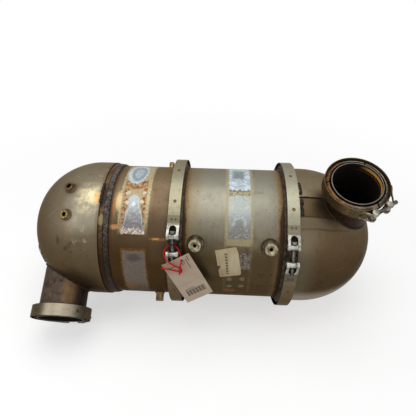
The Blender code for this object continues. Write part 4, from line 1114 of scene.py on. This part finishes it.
side_pipe("inlet_pipe_tube", INLET_MOUTH, INLET_FORM, DOME_START, -1,
          scorched_finish("scorched_inlet_pipe", (50, 38, 30), (94, 80, 68), (-243, -218)), soot)
side_pipe("outlet_pipe_tube", OUTLET_MOUTH, OUTLET_FORM, OUTLET_CROWN, 1,
          scorched_finish("scorched_outlet_pipe", (26, 16, 9), (66, 48, 34)), bore_finish())


# Outlet head: two pressed halves of 2 mm stainless that part along an open seam towards the outlet pipe,
# widened by painted shade. Browner than the inlet head, with rough tack welds beside the rear clamp.
SEAM_GAP = 0.0016


def outlet_head_finish():
    coat, cloud, along, around, height = open_finish("outlet_head_steel")
    # Lit and shaded tones of the sheet's painted light and shade.
    sheet_coat(coat, height, (122, 110, 88), (72, 57, 38), -90, 130, 0.80, 0.42)
    wave = cloud(20, 4) - 0.5
    x = along + wave * 12
    a = around + wave * 2
    oval, _ = masks(x, a)
    # brown between the seam and the step below it, two pressed steps drawn as a bump with a dark line of
    # painted shade, and a paler lower side whose underside is painted pale as a reflection of the floor
    coat.add(ramp(a, 32.6, 31.8) * ramp(a, 15.6, 16.8) * ramp(x, 352, 332) * 0.75, (72, 54, 35))
    coat.add(ramp(a, 44, 38) * ramp(a, 31.8, 32.6) * ramp(x, 262, 300) * 0.4, (84, 64, 44))
    # the pressed steps: a shallow bump each, with a dark line of painted shade
    coat.add(ramp(abs(a - 7), 1.2, 0.3) * ramp(x, 380, 340) * 0.5, (56, 42, 28), None, None, -0.0001)
    coat.add(ramp(abs(a - 16.2), 1.1, 0.2) * ramp(x, 370, 330) * 0.65, (48, 34, 22), None, None, -0.00015)
    coat.add(oval(342, -8, 44, 56, 0.95) * 0.32, (90, 64, 40))
    coat.add(ramp(x, 306, 266) * ramp(a, 20, 0) * ramp(a, -165, -120) * 0.35, (112, 106, 88))
    # painted reflection: the underside painted pale as a reflection of the floor
    coat.add(ramp(a, -46, -62) * ramp(a, -165, -120) * 0.8, (170, 162, 148))
    coat.add(ramp(cloud(9, 4, 0.7), 0.60, 0.70) * 0.3, (58, 40, 26), 0.55)
    # painted shade: a near black band that widens the open seam
    gap = abs(around - OUTLET_ANGLE + (cloud(7, 3, 0.7) - 0.5) * 1.6)
    coat.add(ramp(gap, 1.0, 0.5) * ramp(along, 345, 300) * 0.9, (20, 13, 8), 0.8, 0.1)
    scratches(coat, along, around, ((349, -26, 0.3, 12),), (128, 116, 96))
    return coat.done()


outlet_steel = outlet_head_finish()
outlet_outline, outlet_inside = head_outline(OUTLET_FORM)
seam_up = off_axis(0, OUTLET_ANGLE).to_3x3() @ Vector((0, 1, 0))
for node, turn, side in (("outlet_head_upper", 180, 1), ("outlet_head_lower", 0, -1)):
    where = (shift(*seam_up * (side * SEAM_GAP / 2)) @ along_axis(OUTLET_CROWN, OUTLET_ANGLE)
             @ spin(turn, "Z"))
    half = turned(outlet_outline, where, 80, math.pi, lined=outlet_inside)
    hole = plug(PIPE_BORE, -OUTLET_REACH, 0, OUTLET_MOUTH, 128)
    add_piece(node + "_pressing", carved(half, [hole]), [outlet_steel, soot], (node,), 60)


# V-band clamps: a 25 mm stainless band whose ends turn back round two barrels as slotted strap
# loops, spot-welded down. Three V retainers lie inside, and an M8 bolt joins the barrels.
TRUNNION_RADIUS = 0.006
HALF_LATCH = 0.0185
BAND_BORE = BAND_SHEET + TRUNNION_RADIUS + FIT
LOOP_TAIL = 0.026
LAP = 0.017
SLOT_WIDTH = 0.0146
SLOT_REACH = 0.022
RETAINER_EDGES = (0, 122, 234, 360)
RETAINER_GAP = 0.0045
BOLT_RADIUS = 0.004
BOLT_PITCH = 0.00125
BOLT_OVERHANG = 0.024
BOLT_HEAD_RADIUS = 0.0070
BOLT_HEAD_HEIGHT = 0.0055


def band_finish(name, pale, dark, latch=None, painted_highlight_at=None):
    """Brushed band, pale high up and dark low down as painted light and shade, or pale only about a painted
    highlight where one is given. Under the slots of a latch it is painted dark as the shade beneath the
    loops.
    """
    coat, cloud, along, around, height = open_finish(name)
    cloudy = cloud(40, 4, 0.6)
    brush = cloud(1.6, 3, 0.6, (1.6, 0.5, 0.5))
    stain = cloud(12, 4, 0.65)
    # Painted light and shade: pale high up and dark low down, or pale about a painted highlight.
    share = ramp(abs(along - painted_highlight_at), 44, 16) if painted_highlight_at else ramp(height + (cloudy - 0.5) * 120, -150, 60)
    colour = share.pick(dark, pale)
    colour = (ramp(stain, 0.5, 0.72) * 0.5).pick(colour, (0.72, 0.64, 0.5, 1), "MULTIPLY")
    colour = (ramp(brush, 0.4, 0.8) * 0.12).pick(colour, (214, 208, 188))
    dirt = ramp(cloud(5, 3), 0.62, 0.72)
    coat.lay(colour, 0.37 + (stain - 0.5) * 0.2, 0.8, (brush - 0.5) * 0.00002 + cloudy * 0.0003)
    coat.add(dirt * 0.4, (80, 62, 38), 0.6, 0.3)
    if latch:
        # Painted shade: dark under the strap loops beside the latch.
        coat.add(ramp(abs(around - latch), 14.2, 13.4), (26, 21, 16), 0.7, 0.3)
    return coat.done()


def plated_finish(name, dark, pale, stains=0.5):
    return two_tone(name, dark, pale, (9, 4, 0.6), (0.28, 0.18), 0.85, 0.00004, (1.2, 3, 0.7), (0.3, 0.7),
                    ((7, 4), 0.54, 0.70, stains, (96, 82, 60), 0.55, 0.3))


def copper_finish():
    """Dark retainer scale, still copper-toned on the side towards the cans."""
    coat, cloud, along, around, height = open_finish("copper_toned_retainer")
    crust = cloud(9, 5, 0.65)
    warm = ramp(along + (crust - 0.5) * 30, 356, 318)
    colour = warm.pick(ramp(crust, 0.3, 0.7).pick((96, 84, 74), (152, 138, 124)),
                       ramp(crust, 0.3, 0.7).pick((112, 76, 46), (172, 126, 84)))
    return coat.lay(colour, 0.45 + (crust - 0.5) * 0.3, 0.65, crust * 0.0002).done()


lap_steel = band_finish("lap_steel", (118, 113, 94), (76, 62, 44))
outlet_lap_steel = band_finish("outlet_lap_steel", (78, 64, 42), (52, 40, 26))
plating = plated_finish("bright_zinc_plating", (118, 116, 106), (178, 178, 168))
old_plating = plated_finish("browned_zinc_plating", (72, 62, 46), (176, 166, 140), 0.7)
bolt_steel = plated_finish("dark_bolt_steel", (44, 40, 34), (128, 124, 114), 0.4)
retainer_scale = scale_finish("retainer_scale", (34, 28, 24), (74, 62, 52))
CLAMP_STEEL = {                   # band, loops, laps and retainers
    "front": (band_finish("front_band_steel", (140, 135, 112), (88, 72, 48), -7.4),
              plating, lap_steel, retainer_scale),
    "rear": (band_finish("rear_band_steel", (148, 145, 126), (88, 72, 48), -11.4),
             plating, lap_steel, retainer_scale),
    # The inlet band is pale only about a painted highlight at 240 mm before the joint, and painted dark on
    # either side.
    "inlet": (band_finish("inlet_band_steel", (158, 149, 129), (76, 64, 48), None, -240),
              old_plating, lap_steel, retainer_scale),
    "outlet": (band_finish("outlet_band_steel", (96, 80, 52), (60, 46, 28)),
               old_plating, outlet_lap_steel, copper_finish()),
}
weld_dot = scale_finish("spot_weld_ring", (74, 42, 30), (118, 76, 52), 0.4, 0.55, 3)
dark_dot = scale_finish("dark_spot_weld", (44, 38, 30), (80, 72, 58), 0.5, 0.5, 3)


def trunnion_height(band_radius):
    to_centre = band_radius - BAND_SHEET + BAND_BORE
    return math.sqrt(to_centre ** 2 - HALF_LATCH ** 2)


def strap_line(band_radius, steps):
    """Middle line of the strap in the clamp's plane, latch at +X: lap, loop, band, loop, lap.
    Each point comes with the number of its finish: 0 on the band, 1 on a loop and 2 on a lap."""
    def polar(radius, angle):
        return Vector((math.cos(angle), math.sin(angle))) * radius

    turn = TRUNNION_RADIUS + FIT + BAND_SHEET / 2
    lean = math.asin(HALF_LATCH / (band_radius - BAND_SHEET + BAND_BORE))
    tail = lean + LOOP_TAIL / band_radius
    lap_radius = band_radius + BAND_SHEET / 2 + 0.00008
    centre = Vector((trunnion_height(band_radius), HALF_LATCH))
    end = polar(lap_radius, tail)
    away = end - centre
    touch = math.atan2(away.y, away.x) - math.acos(turn / away.length)
    start = centre + polar(turn, touch)
    half = [(polar(lap_radius, tail + LAP / band_radius * i / 7), 2) for i in range(7, -1, -1)]
    half += [(end + (start - end) * i / 7, 1) for i in range(1, 7)]
    half += [(centre + polar(turn, touch + (lean - math.pi - touch) * i / 18), 1) for i in range(19)]
    count = steps // 2
    for i in range(1, count + 1):
        a = lean + (math.pi - lean) * i / count
        half.append((polar(band_radius - BAND_SHEET / 2, a), 0 if a > lean + 0.02 else 1))
    return half + [(Vector((p.x, -p.y)), kind) for p, kind in reversed(half[:-1])]


def strap_mesh(line, where):
    """A strap of the band's width and sheet along its middle line, edges eased."""
    half, edge, ease = BAND_SHEET / 2 - 0.00009, HALF_BAND, 0.00035     # inside the CAD band's facets
    section = [(half, edge - ease), (half - ease, edge), (ease - half, edge), (-half, edge - ease)]
    section += [(d, -z) for d, z in reversed(section)]
    rings = []
    for i, (point, _) in enumerate(line):
        along = (line[min(i + 1, len(line) - 1)][0] - line[max(i - 1, 0)][0]).normalized()
        rings.append([(point.x + along.y * d, point.y - along.x * d, z) for d, z in section])
    return skin(rings, where, kinds=[kind for _, kind in line])


def slot_room(band_radius, where):
    """Room of the slot through the two strap loops, with a floor that follows the band."""
    reach, half = HALF_LATCH + SLOT_REACH, SLOT_WIDTH / 2
    ease = [half * (1 - math.cos(math.pi / 2 * i / 8)) for i in range(8)]
    stops = [step - reach for step in ease] + [(reach - half) * (i / 12 - 1) for i in range(25)]
    stops += [reach - step for step in reversed(ease)]
    rings = []
    for y in stops:
        past = max(abs(y) - (reach - half), 0.0)
        wide = max(math.sqrt(max(half ** 2 - past ** 2, 0.0)), 0.00002)
        low, high = math.sqrt((band_radius + 2 * FIT) ** 2 - y ** 2), trunnion_height(band_radius) + 0.02
        rings.append([(low, y, -wide), (low, y, wide), (high, y, wide), (high, y, -wide)])
    return skin(rings, where)


def together(meshes):
    """Several meshes as one."""
    body = bmesh.new()
    for mesh in meshes:
        body.from_mesh(mesh)
    made = bpy.data.meshes.new("mesh")
    body.to_mesh(made)
    body.free()
    return made


def threaded_rod(radius, low, high, where):
    """A rod with a rolled thread, cut to one real helix."""
    rows, sides, depth = round((high - low) / BOLT_PITCH * 6), 18, 0.00055

    def place(z, angle):
        wave = abs(2 * ((z / BOLT_PITCH - angle / math.tau) % 1) - 1)
        reach = (radius - depth * wave) * min(1.0, (high - z) / 0.001 * 0.3 + 0.7)
        return reach * math.cos(angle), reach * math.sin(angle), z

    return skin([[place(low + (high - low) * row / rows, math.tau * k / sides) for k in range(sides)]
                 for row in range(rows + 1)], where)


def retainer_outline(band_radius, foot_radius):
    """Section of a retainer: leg, flat crown, leg, with eased bends."""
    crest = crest_radius(band_radius)
    line = [(foot_radius, LEG_HALF), (crest, CROWN_HALF), (crest, -CROWN_HALF), (foot_radius, -LEG_HALF)]
    line = [line[0]] + rounded(line, 0.0016)[3:-3] + [line[-1]]
    return offset(line, RETAINER_SHEET / 2) + offset(line, -RETAINER_SHEET / 2)[::-1]


def spot_weld(radius, where):
    """A spot weld's dimple: a pale middle in a raised, heat-tinted ring."""
    rings = ((0.0, 0.00002), (0.26, 0.00002), (0.42, 0.00016), (0.66, 0.00018), (1.0, 0.00004),
             (1.0, -0.0002), (0.0, -0.0002))
    return turned([(share * radius, height) for share, height in rings], where, 20, lined=(1, 2, 3))


def v_clamp(label, where, band_radius, foot_radius, latch, dots, steps):
    """Band, retainers, barrels, bolt and spot welds of one clamp. Dots are degrees and mm across."""
    spun = where @ spin(latch, "Z")
    bare, loops, lap, scale = CLAMP_STEEL[label]
    band = carved(strap_mesh(strap_line(band_radius, steps), spun), [slot_room(band_radius, spun)])
    add_piece(label + "_band_and_loops", band, [bare, loops, lap],
              (label + "_clamp_band",), 32)
    outline = retainer_outline(band_radius, foot_radius)
    gap = math.degrees(RETAINER_GAP / band_radius)
    for number, (start, stop) in enumerate(zip(RETAINER_EDGES, RETAINER_EDGES[1:]), 1):
        span = math.radians(stop - start - gap)
        piece = turned(outline, spun @ spin(start + gap / 2, "Z"), round(steps * span / math.tau), span)
        add_piece(f"{label}_retainer_{number}", piece, [scale],
                  (f"{label}_clamp_retainer_{number}",), 40)
    lift = trunnion_height(band_radius)
    half, r = HALF_BAND - FIT, TRUNNION_RADIUS
    barrel_line = rounded([(0, -half), (r, -half), (r, half), (0, half)], 0.0009)
    for side, kind in ((-1, "trunnion"), (1, "trunnion_nut")):
        barrel = turned(barrel_line, spun @ shift(lift, side * HALF_LATCH, 0), 40)
        add_piece(f"{label}_{kind}_barrel", barrel, [plating],
                  (f"{label}_clamp_{kind}",))
    seat = -HALF_LATCH - TRUNNION_RADIUS - FIT
    along = spun @ shift(lift, 0, 0) @ spin(-90, "X")
    low, wide = seat - BOLT_HEAD_HEIGHT, BOLT_HEAD_RADIUS
    head = turned([(0, low + 0.0003), (wide * 0.62, low + 0.0003), (wide * 0.86, low), (wide, low + 0.0007),
                   (wide, seat - 0.0006), (wide * 0.9, seat), (0, seat)], along @ spin(90, "Z"), 6)
    bolt = together([threaded_rod(BOLT_RADIUS, seat - 0.001, HALF_LATCH + BOLT_OVERHANG, along), head])
    add_piece(label + "_clamp_m8_bolt", bolt, [bolt_steel], (label + "_clamp_bolt",), 30)
    spots = []
    for degrees, across in dots:
        from_latch = math.radians(abs((degrees - latch + 180) % 360 - 180)) * band_radius
        near_loop = 0.019 + LOOP_TAIL
        height = band_radius + (BAND_SHEET + 0.0001 if near_loop < from_latch < near_loop + LAP else 0)
        dot = spot_weld(0.0022 if across else 0.0036,
                        where @ spin(degrees, "Z") @ shift(height, 0, across / 1000) @ spin(90, "Y"))
        for face in dot.polygons:
            face.material_index *= 2 if across or label == "inlet" else 1
        spots.append(dot)
    add_piece(label + "_spot_welds", together(spots), [bare, weld_dot, dark_dot])


v_clamp("front", along_axis(0), LARGE_BAND_RADIUS, LARGE_FOOT, 7.4,
        ((-52.5, 0), (-23.1, 0), (-10.0, -4), (-10.0, 4), (25.6, -4), (25.6, 4), (46, 0), (82, 0), (-95, 0),
         (130, 0), (175, 0), (-124, 0)), 240)
v_clamp("rear", along_axis(FILTER_LENGTH), LARGE_BAND_RADIUS, LARGE_FOOT, 11.4,
        ((-49.3, 0), (-19.9, 0), (-6.9, -4), (-6.9, 4), (29.8, -4), (29.8, 4), (43.1, 0), (78, 0), (-92, 0),
         (126, 0), (171, 0), (-122, 0)), 240)
for label, mouth, latch, dots in (
    ("inlet", INLET_MOUTH, -86.0,
     ((122, 0), (39, 0), (-48, -4), (-48, 4), (-124, -4), (-124, 4), (-175, 0))),
    ("outlet", OUTLET_MOUTH, -56.0,
     ((-119, 0), (-102, -4), (-102, 4), (-10, -4), (-10, 4), (60, 0), (140, 0))),
):
    v_clamp(label, mouth @ shift(0, 0, -HALF_BAND), SMALL_BAND_RADIUS, SMALL_FOOT, latch, dots, 160)


# Bosses, ports and stubs: turned steel and brass, welded over holes in the heads and cans. The two
# pressure ports stand on round pads, and the brass pieces are still bright on their faces.
def port_finish(name, dark, pale, metal=0.75):
    return two_tone(name, dark, pale, (7, 4, 0.6), (0.40, 0.2), metal, 0.00005, (1.5, 3, 0.7), (0.3, 0.7),
                    ((5, 4), 0.56, 0.7, 0.6, (66, 50, 32), 0.6, 0.3))


brass = two_tone("worn_brass", (76, 60, 34), (160, 138, 90), (4, 4, 0.6), (0.28, 0.2), 0.85, 0.00008,
                 None, (0.3, 0.7), ((6, 3), 0.55, 0.7, 0.6, (70, 56, 34), 0.6, 0.3))
port_steel = port_finish("dull_port_steel", (108, 100, 80), (176, 166, 138))
pad_steel = port_finish("welded_pad_steel", (44, 37, 26), (96, 87, 68), 0.6)
boss_steel = port_finish("bronzed_boss_steel", (56, 42, 26), (128, 104, 72))


def stood_on_can(name, node, x, degrees, outline, finishes, lined=(), pad=(), steps=64):
    """A turned boss whose foot follows the can. A pad's stretches of the outline take the third finish."""
    def foot(place, angle, radius, height):
        if place:
            return radius, height + CAN_RADIUS
        return radius, height + math.sqrt((CAN_RADIUS + FIT) ** 2 - (radius * math.sin(angle)) ** 2)

    mesh = turned(outline, off_axis(x, degrees), steps, ripple=foot, lined=lined)
    for number, face in enumerate(mesh.polygons):
        if number // steps in pad:
            face.material_index = 2
    add_piece(name, mesh, finishes, (node,), 34)


PORT_LINE = (                     # radius and height over the can, mm, from the foot inwards
    (18.4, 0.0), (18.35, 3.2), (17.4, 4.9), (15.8, 5.2), (14.2, 5.6), (13.2, 6.6), (13.0, 8.0), (13.0, 20.6),
    (12.5, 21.6), (11.6, 22.0), (8.3, 22.0), (7.8, 21.6), (6.8, 20.2), (3.9, 19.0), (3.4, 18.4), (3.4, 7.0),
    (0, 6.0),
)
for node, x, degrees in (("front_pressure_port", 0.0447, -7.3), ("rear_pressure_port", 0.1989, -8.0)):
    line = [(r / 1000, h / 1000) for r, h in PORT_LINE] + [(0, 0)]
    stood_on_can(node + "_turned", node, x, degrees, line, [port_steel, soot, pad_steel],
                 (13, 14, 15), range(5))


def stub_outline(radius, height, bore):
    return [(radius * 1.35, 0), (radius * 1.33, 0.0008), (radius * 1.12, 0.0030), (radius, 0.0050),
            (radius, height - 0.0016), (radius * 0.94, height - 0.0005), (radius * 0.82, height),
            (bore + 0.0006, height), (bore, height - 0.0006), (bore, height / 2), (0, height / 2), (0, 0)]


drain_steel = scale_finish("drain_stub_scale", (74, 56, 34), (142, 118, 84), 0.6, 0.45, 12)
stood_on_can("drain_stub_turned", "drain_stub", -0.044, -80, stub_outline(0.0092, 0.021, 0.0050),
             [drain_steel, soot], (8, 9), steps=48)
stood_on_can("catalyst_probe_turned", "catalyst_probe_fitting", -0.035, 104,
             stub_outline(0.0066, 0.022, 0.0033), [brass, soot], (8, 9), steps=48)


def dome_boss(name, node, spot, radius, height, bore, finish):
    """A boss square to the dome, with its own small weld bead."""
    line = [(radius + 0.0016, -0.0012), (radius + 0.0014, 0.0004), (radius + 0.0003, 0.0016),
            (radius, 0.0022),
            (radius, height - 0.0009), (radius - 0.0003, height - 0.0003), (radius - 0.0009, height),
            (bore + 0.0008, height), (bore + 0.0002, height - 0.0003), (bore, height - 0.0009),
            (bore, -0.0019)]

    def bead(place, angle, r, h):
        spot = Vector((math.cos(angle) * 3, math.sin(angle) * 3, place))
        return (r + 0.0003 * noise.noise(spot), h) if place < 3 else (r, h)

    add_piece(name, turned(line, spot, 48, ripple=bead, lined=(9,)), [finish, soot], (node,), 36)


dome_boss("temperature_boss_turned", "temperature_boss", BOSS_SPOT, 0.0102, 0.009, BOSS_BORE,
          boss_steel)
dome_boss("inlet_fitting_turned", "inlet_pressure_fitting", FITTING_SPOT, 0.0092, 0.008, FITTING_BORE,
          brass)

# The strip's tone is bright plating, raised paler still as a painted highlight along it.
strip_solid = dress("end_strip", plated_finish("bright_strip", (132, 128, 118), (208, 206, 198), 0.3))


# Tack welds: short rough beads on the rim of the inlet head and down the rim of the outlet head,
# where the halves meet the rear flange.
def bead_along(name, x, radius, low, high, thickness, wander=0.0006):
    count = max(12, round(abs(high - low) * 1.8))
    points = []
    for i in range(count + 1):
        degrees = low + (high - low) * i / count
        shift = noise.noise(Vector((degrees * 0.35, x * 90, 0))) * wander
        points.append(from_axis(x + shift, radius, degrees))
    bead_ring(name, points, thickness, where=True)


bead_along("inlet_rim_tack_weld", -0.1582, INLET_HEAD_RADIUS - 0.0020, 21.5, 39.5, 0.0036, 0.0014)
bead_along("outlet_tack_weld_upper", 0.2622, OUTLET_HEAD_RADIUS - 0.0026, 34.9, 47.5, 0.0045, 0.0014)
bead_along("outlet_tack_weld_lower", 0.2630, OUTLET_HEAD_RADIUS - 0.0026, 16.5, 30.5, 0.0045, 0.0014)


# Paper label: an old yellowed label on the filter can, torn along its edges, with one faded row of
# print marks and no words. It is stuck down all over and follows the can.
LABEL_THICKNESS = 0.0004
LABEL_OUTLINE = (                 # millimetres from the joint, and degrees
    (85.7, -12.0), (106.2, -10.4), (128.7, -8.6), (134.4, -13.7),
    (141.9, -30.7), (141.3, -33.3), (119.2, -35.0), (98.0, -36.5),
    (94.3, -29.6), (99.2, -24.7), (91.9, -25.3), (89.3, -18.6),
)


def label_finish():
    coat, cloud, along, around, height = open_finish("aged_label_paper")
    fibre = cloud(1.6, 4, 0.7)
    soil = cloud(18, 4, 0.6)
    oval, _ = masks(along, around)
    colour = soil.pick((166, 146, 108), (208, 192, 158))
    colour = (ramp(fibre, 0.5, 0.8) * 0.4).pick(colour, (214, 204, 172))
    coat.lay(colour, 0.7 + fibre * 0.2, 0.0, fibre * 0.00008)
    for run in (126, 113):
        crack = abs(along - run - (cloud(9, 3) - 0.5) * 16)
        coat.add(ramp(crack, 0.5, 0.15) * ramp(soil, 0.42, 0.6) * 0.7, (104, 84, 54), bump=-0.0001)
    run = along - 104 + around * 0.3
    dash = around.math("PINGPONG", around * MM_PER_DEGREE, 3.3)
    print_mark = ramp(abs(run), 2.8, 2.2) * ramp(dash, 2.2, 1.8)
    print_mark = print_mark * ramp(around, -34, -33) * ramp(around, -13, -14)
    coat.add(print_mark * 0.85, (74, 62, 48))
    pale = oval(128, -22, 12, 24, 0.8)
    coat.add(pale * 0.35, (222, 214, 184))
    return coat.add(oval(100, -33, 10, 16, 0.8) * 0.4, (150, 118, 76)).done()


def torn_label():
    """The label's sheet: its torn outline with ragged edges, laid on the can."""
    outline = []
    corners = [Vector((x / 1000, math.radians(a) * CAN_RADIUS)) for x, a in LABEL_OUTLINE]
    for number, (here, there) in enumerate(zip(corners, corners[1:] + corners[:1])):
        steps = max(2, round((there - here).length / 0.0016))
        ragged = 0.0007 if number in (2, 3, 7, 8, 9, 10) else 0.00012
        aside = Vector(((there - here).y, (here - there).x)).normalized()
        for i in range(steps):
            point = here + (there - here) * i / steps
            pull = noise.noise(Vector((point.x * 700, point.y * 700, number))) * ragged if i else 0.0
            outline.append(point + aside * pull)
    body = bmesh.new()
    body.faces.new([body.verts.new((p.x, p.y, 0)) for p in outline])
    bmesh.ops.triangulate(body, faces=body.faces)
    for axis, size in ((0, 0.004), (1, 0.002)):
        low = min(v.co[axis] for v in body.verts)
        high = max(v.co[axis] for v in body.verts)
        for k in range(1, int((high - low) / size)):
            point, across = [0.0, 0.0, 0.0], [0.0, 0.0, 0.0]
            point[axis], across[axis] = low + k * size, 1.0
            bmesh.ops.bisect_plane(body, geom=body.verts[:] + body.edges[:] + body.faces[:],
                                   plane_co=point, plane_no=across)
    sheet = bmesh.ops.extrude_face_region(body, geom=body.faces[:] + body.edges[:] + body.verts[:])
    upper = {v for v in sheet["geom"] if isinstance(v, bmesh.types.BMVert)}
    for vert in body.verts:
        x, arc_length, _ = vert.co
        lift = FIT + (LABEL_THICKNESS if vert in upper else 0.0)
        vert.co = from_axis(x, CAN_RADIUS + lift, math.degrees(arc_length / CAN_RADIUS))
    return to_mesh(body, Matrix())


add_piece("torn_paper_label", torn_label(), [label_finish()], ("paper_label",), 40)
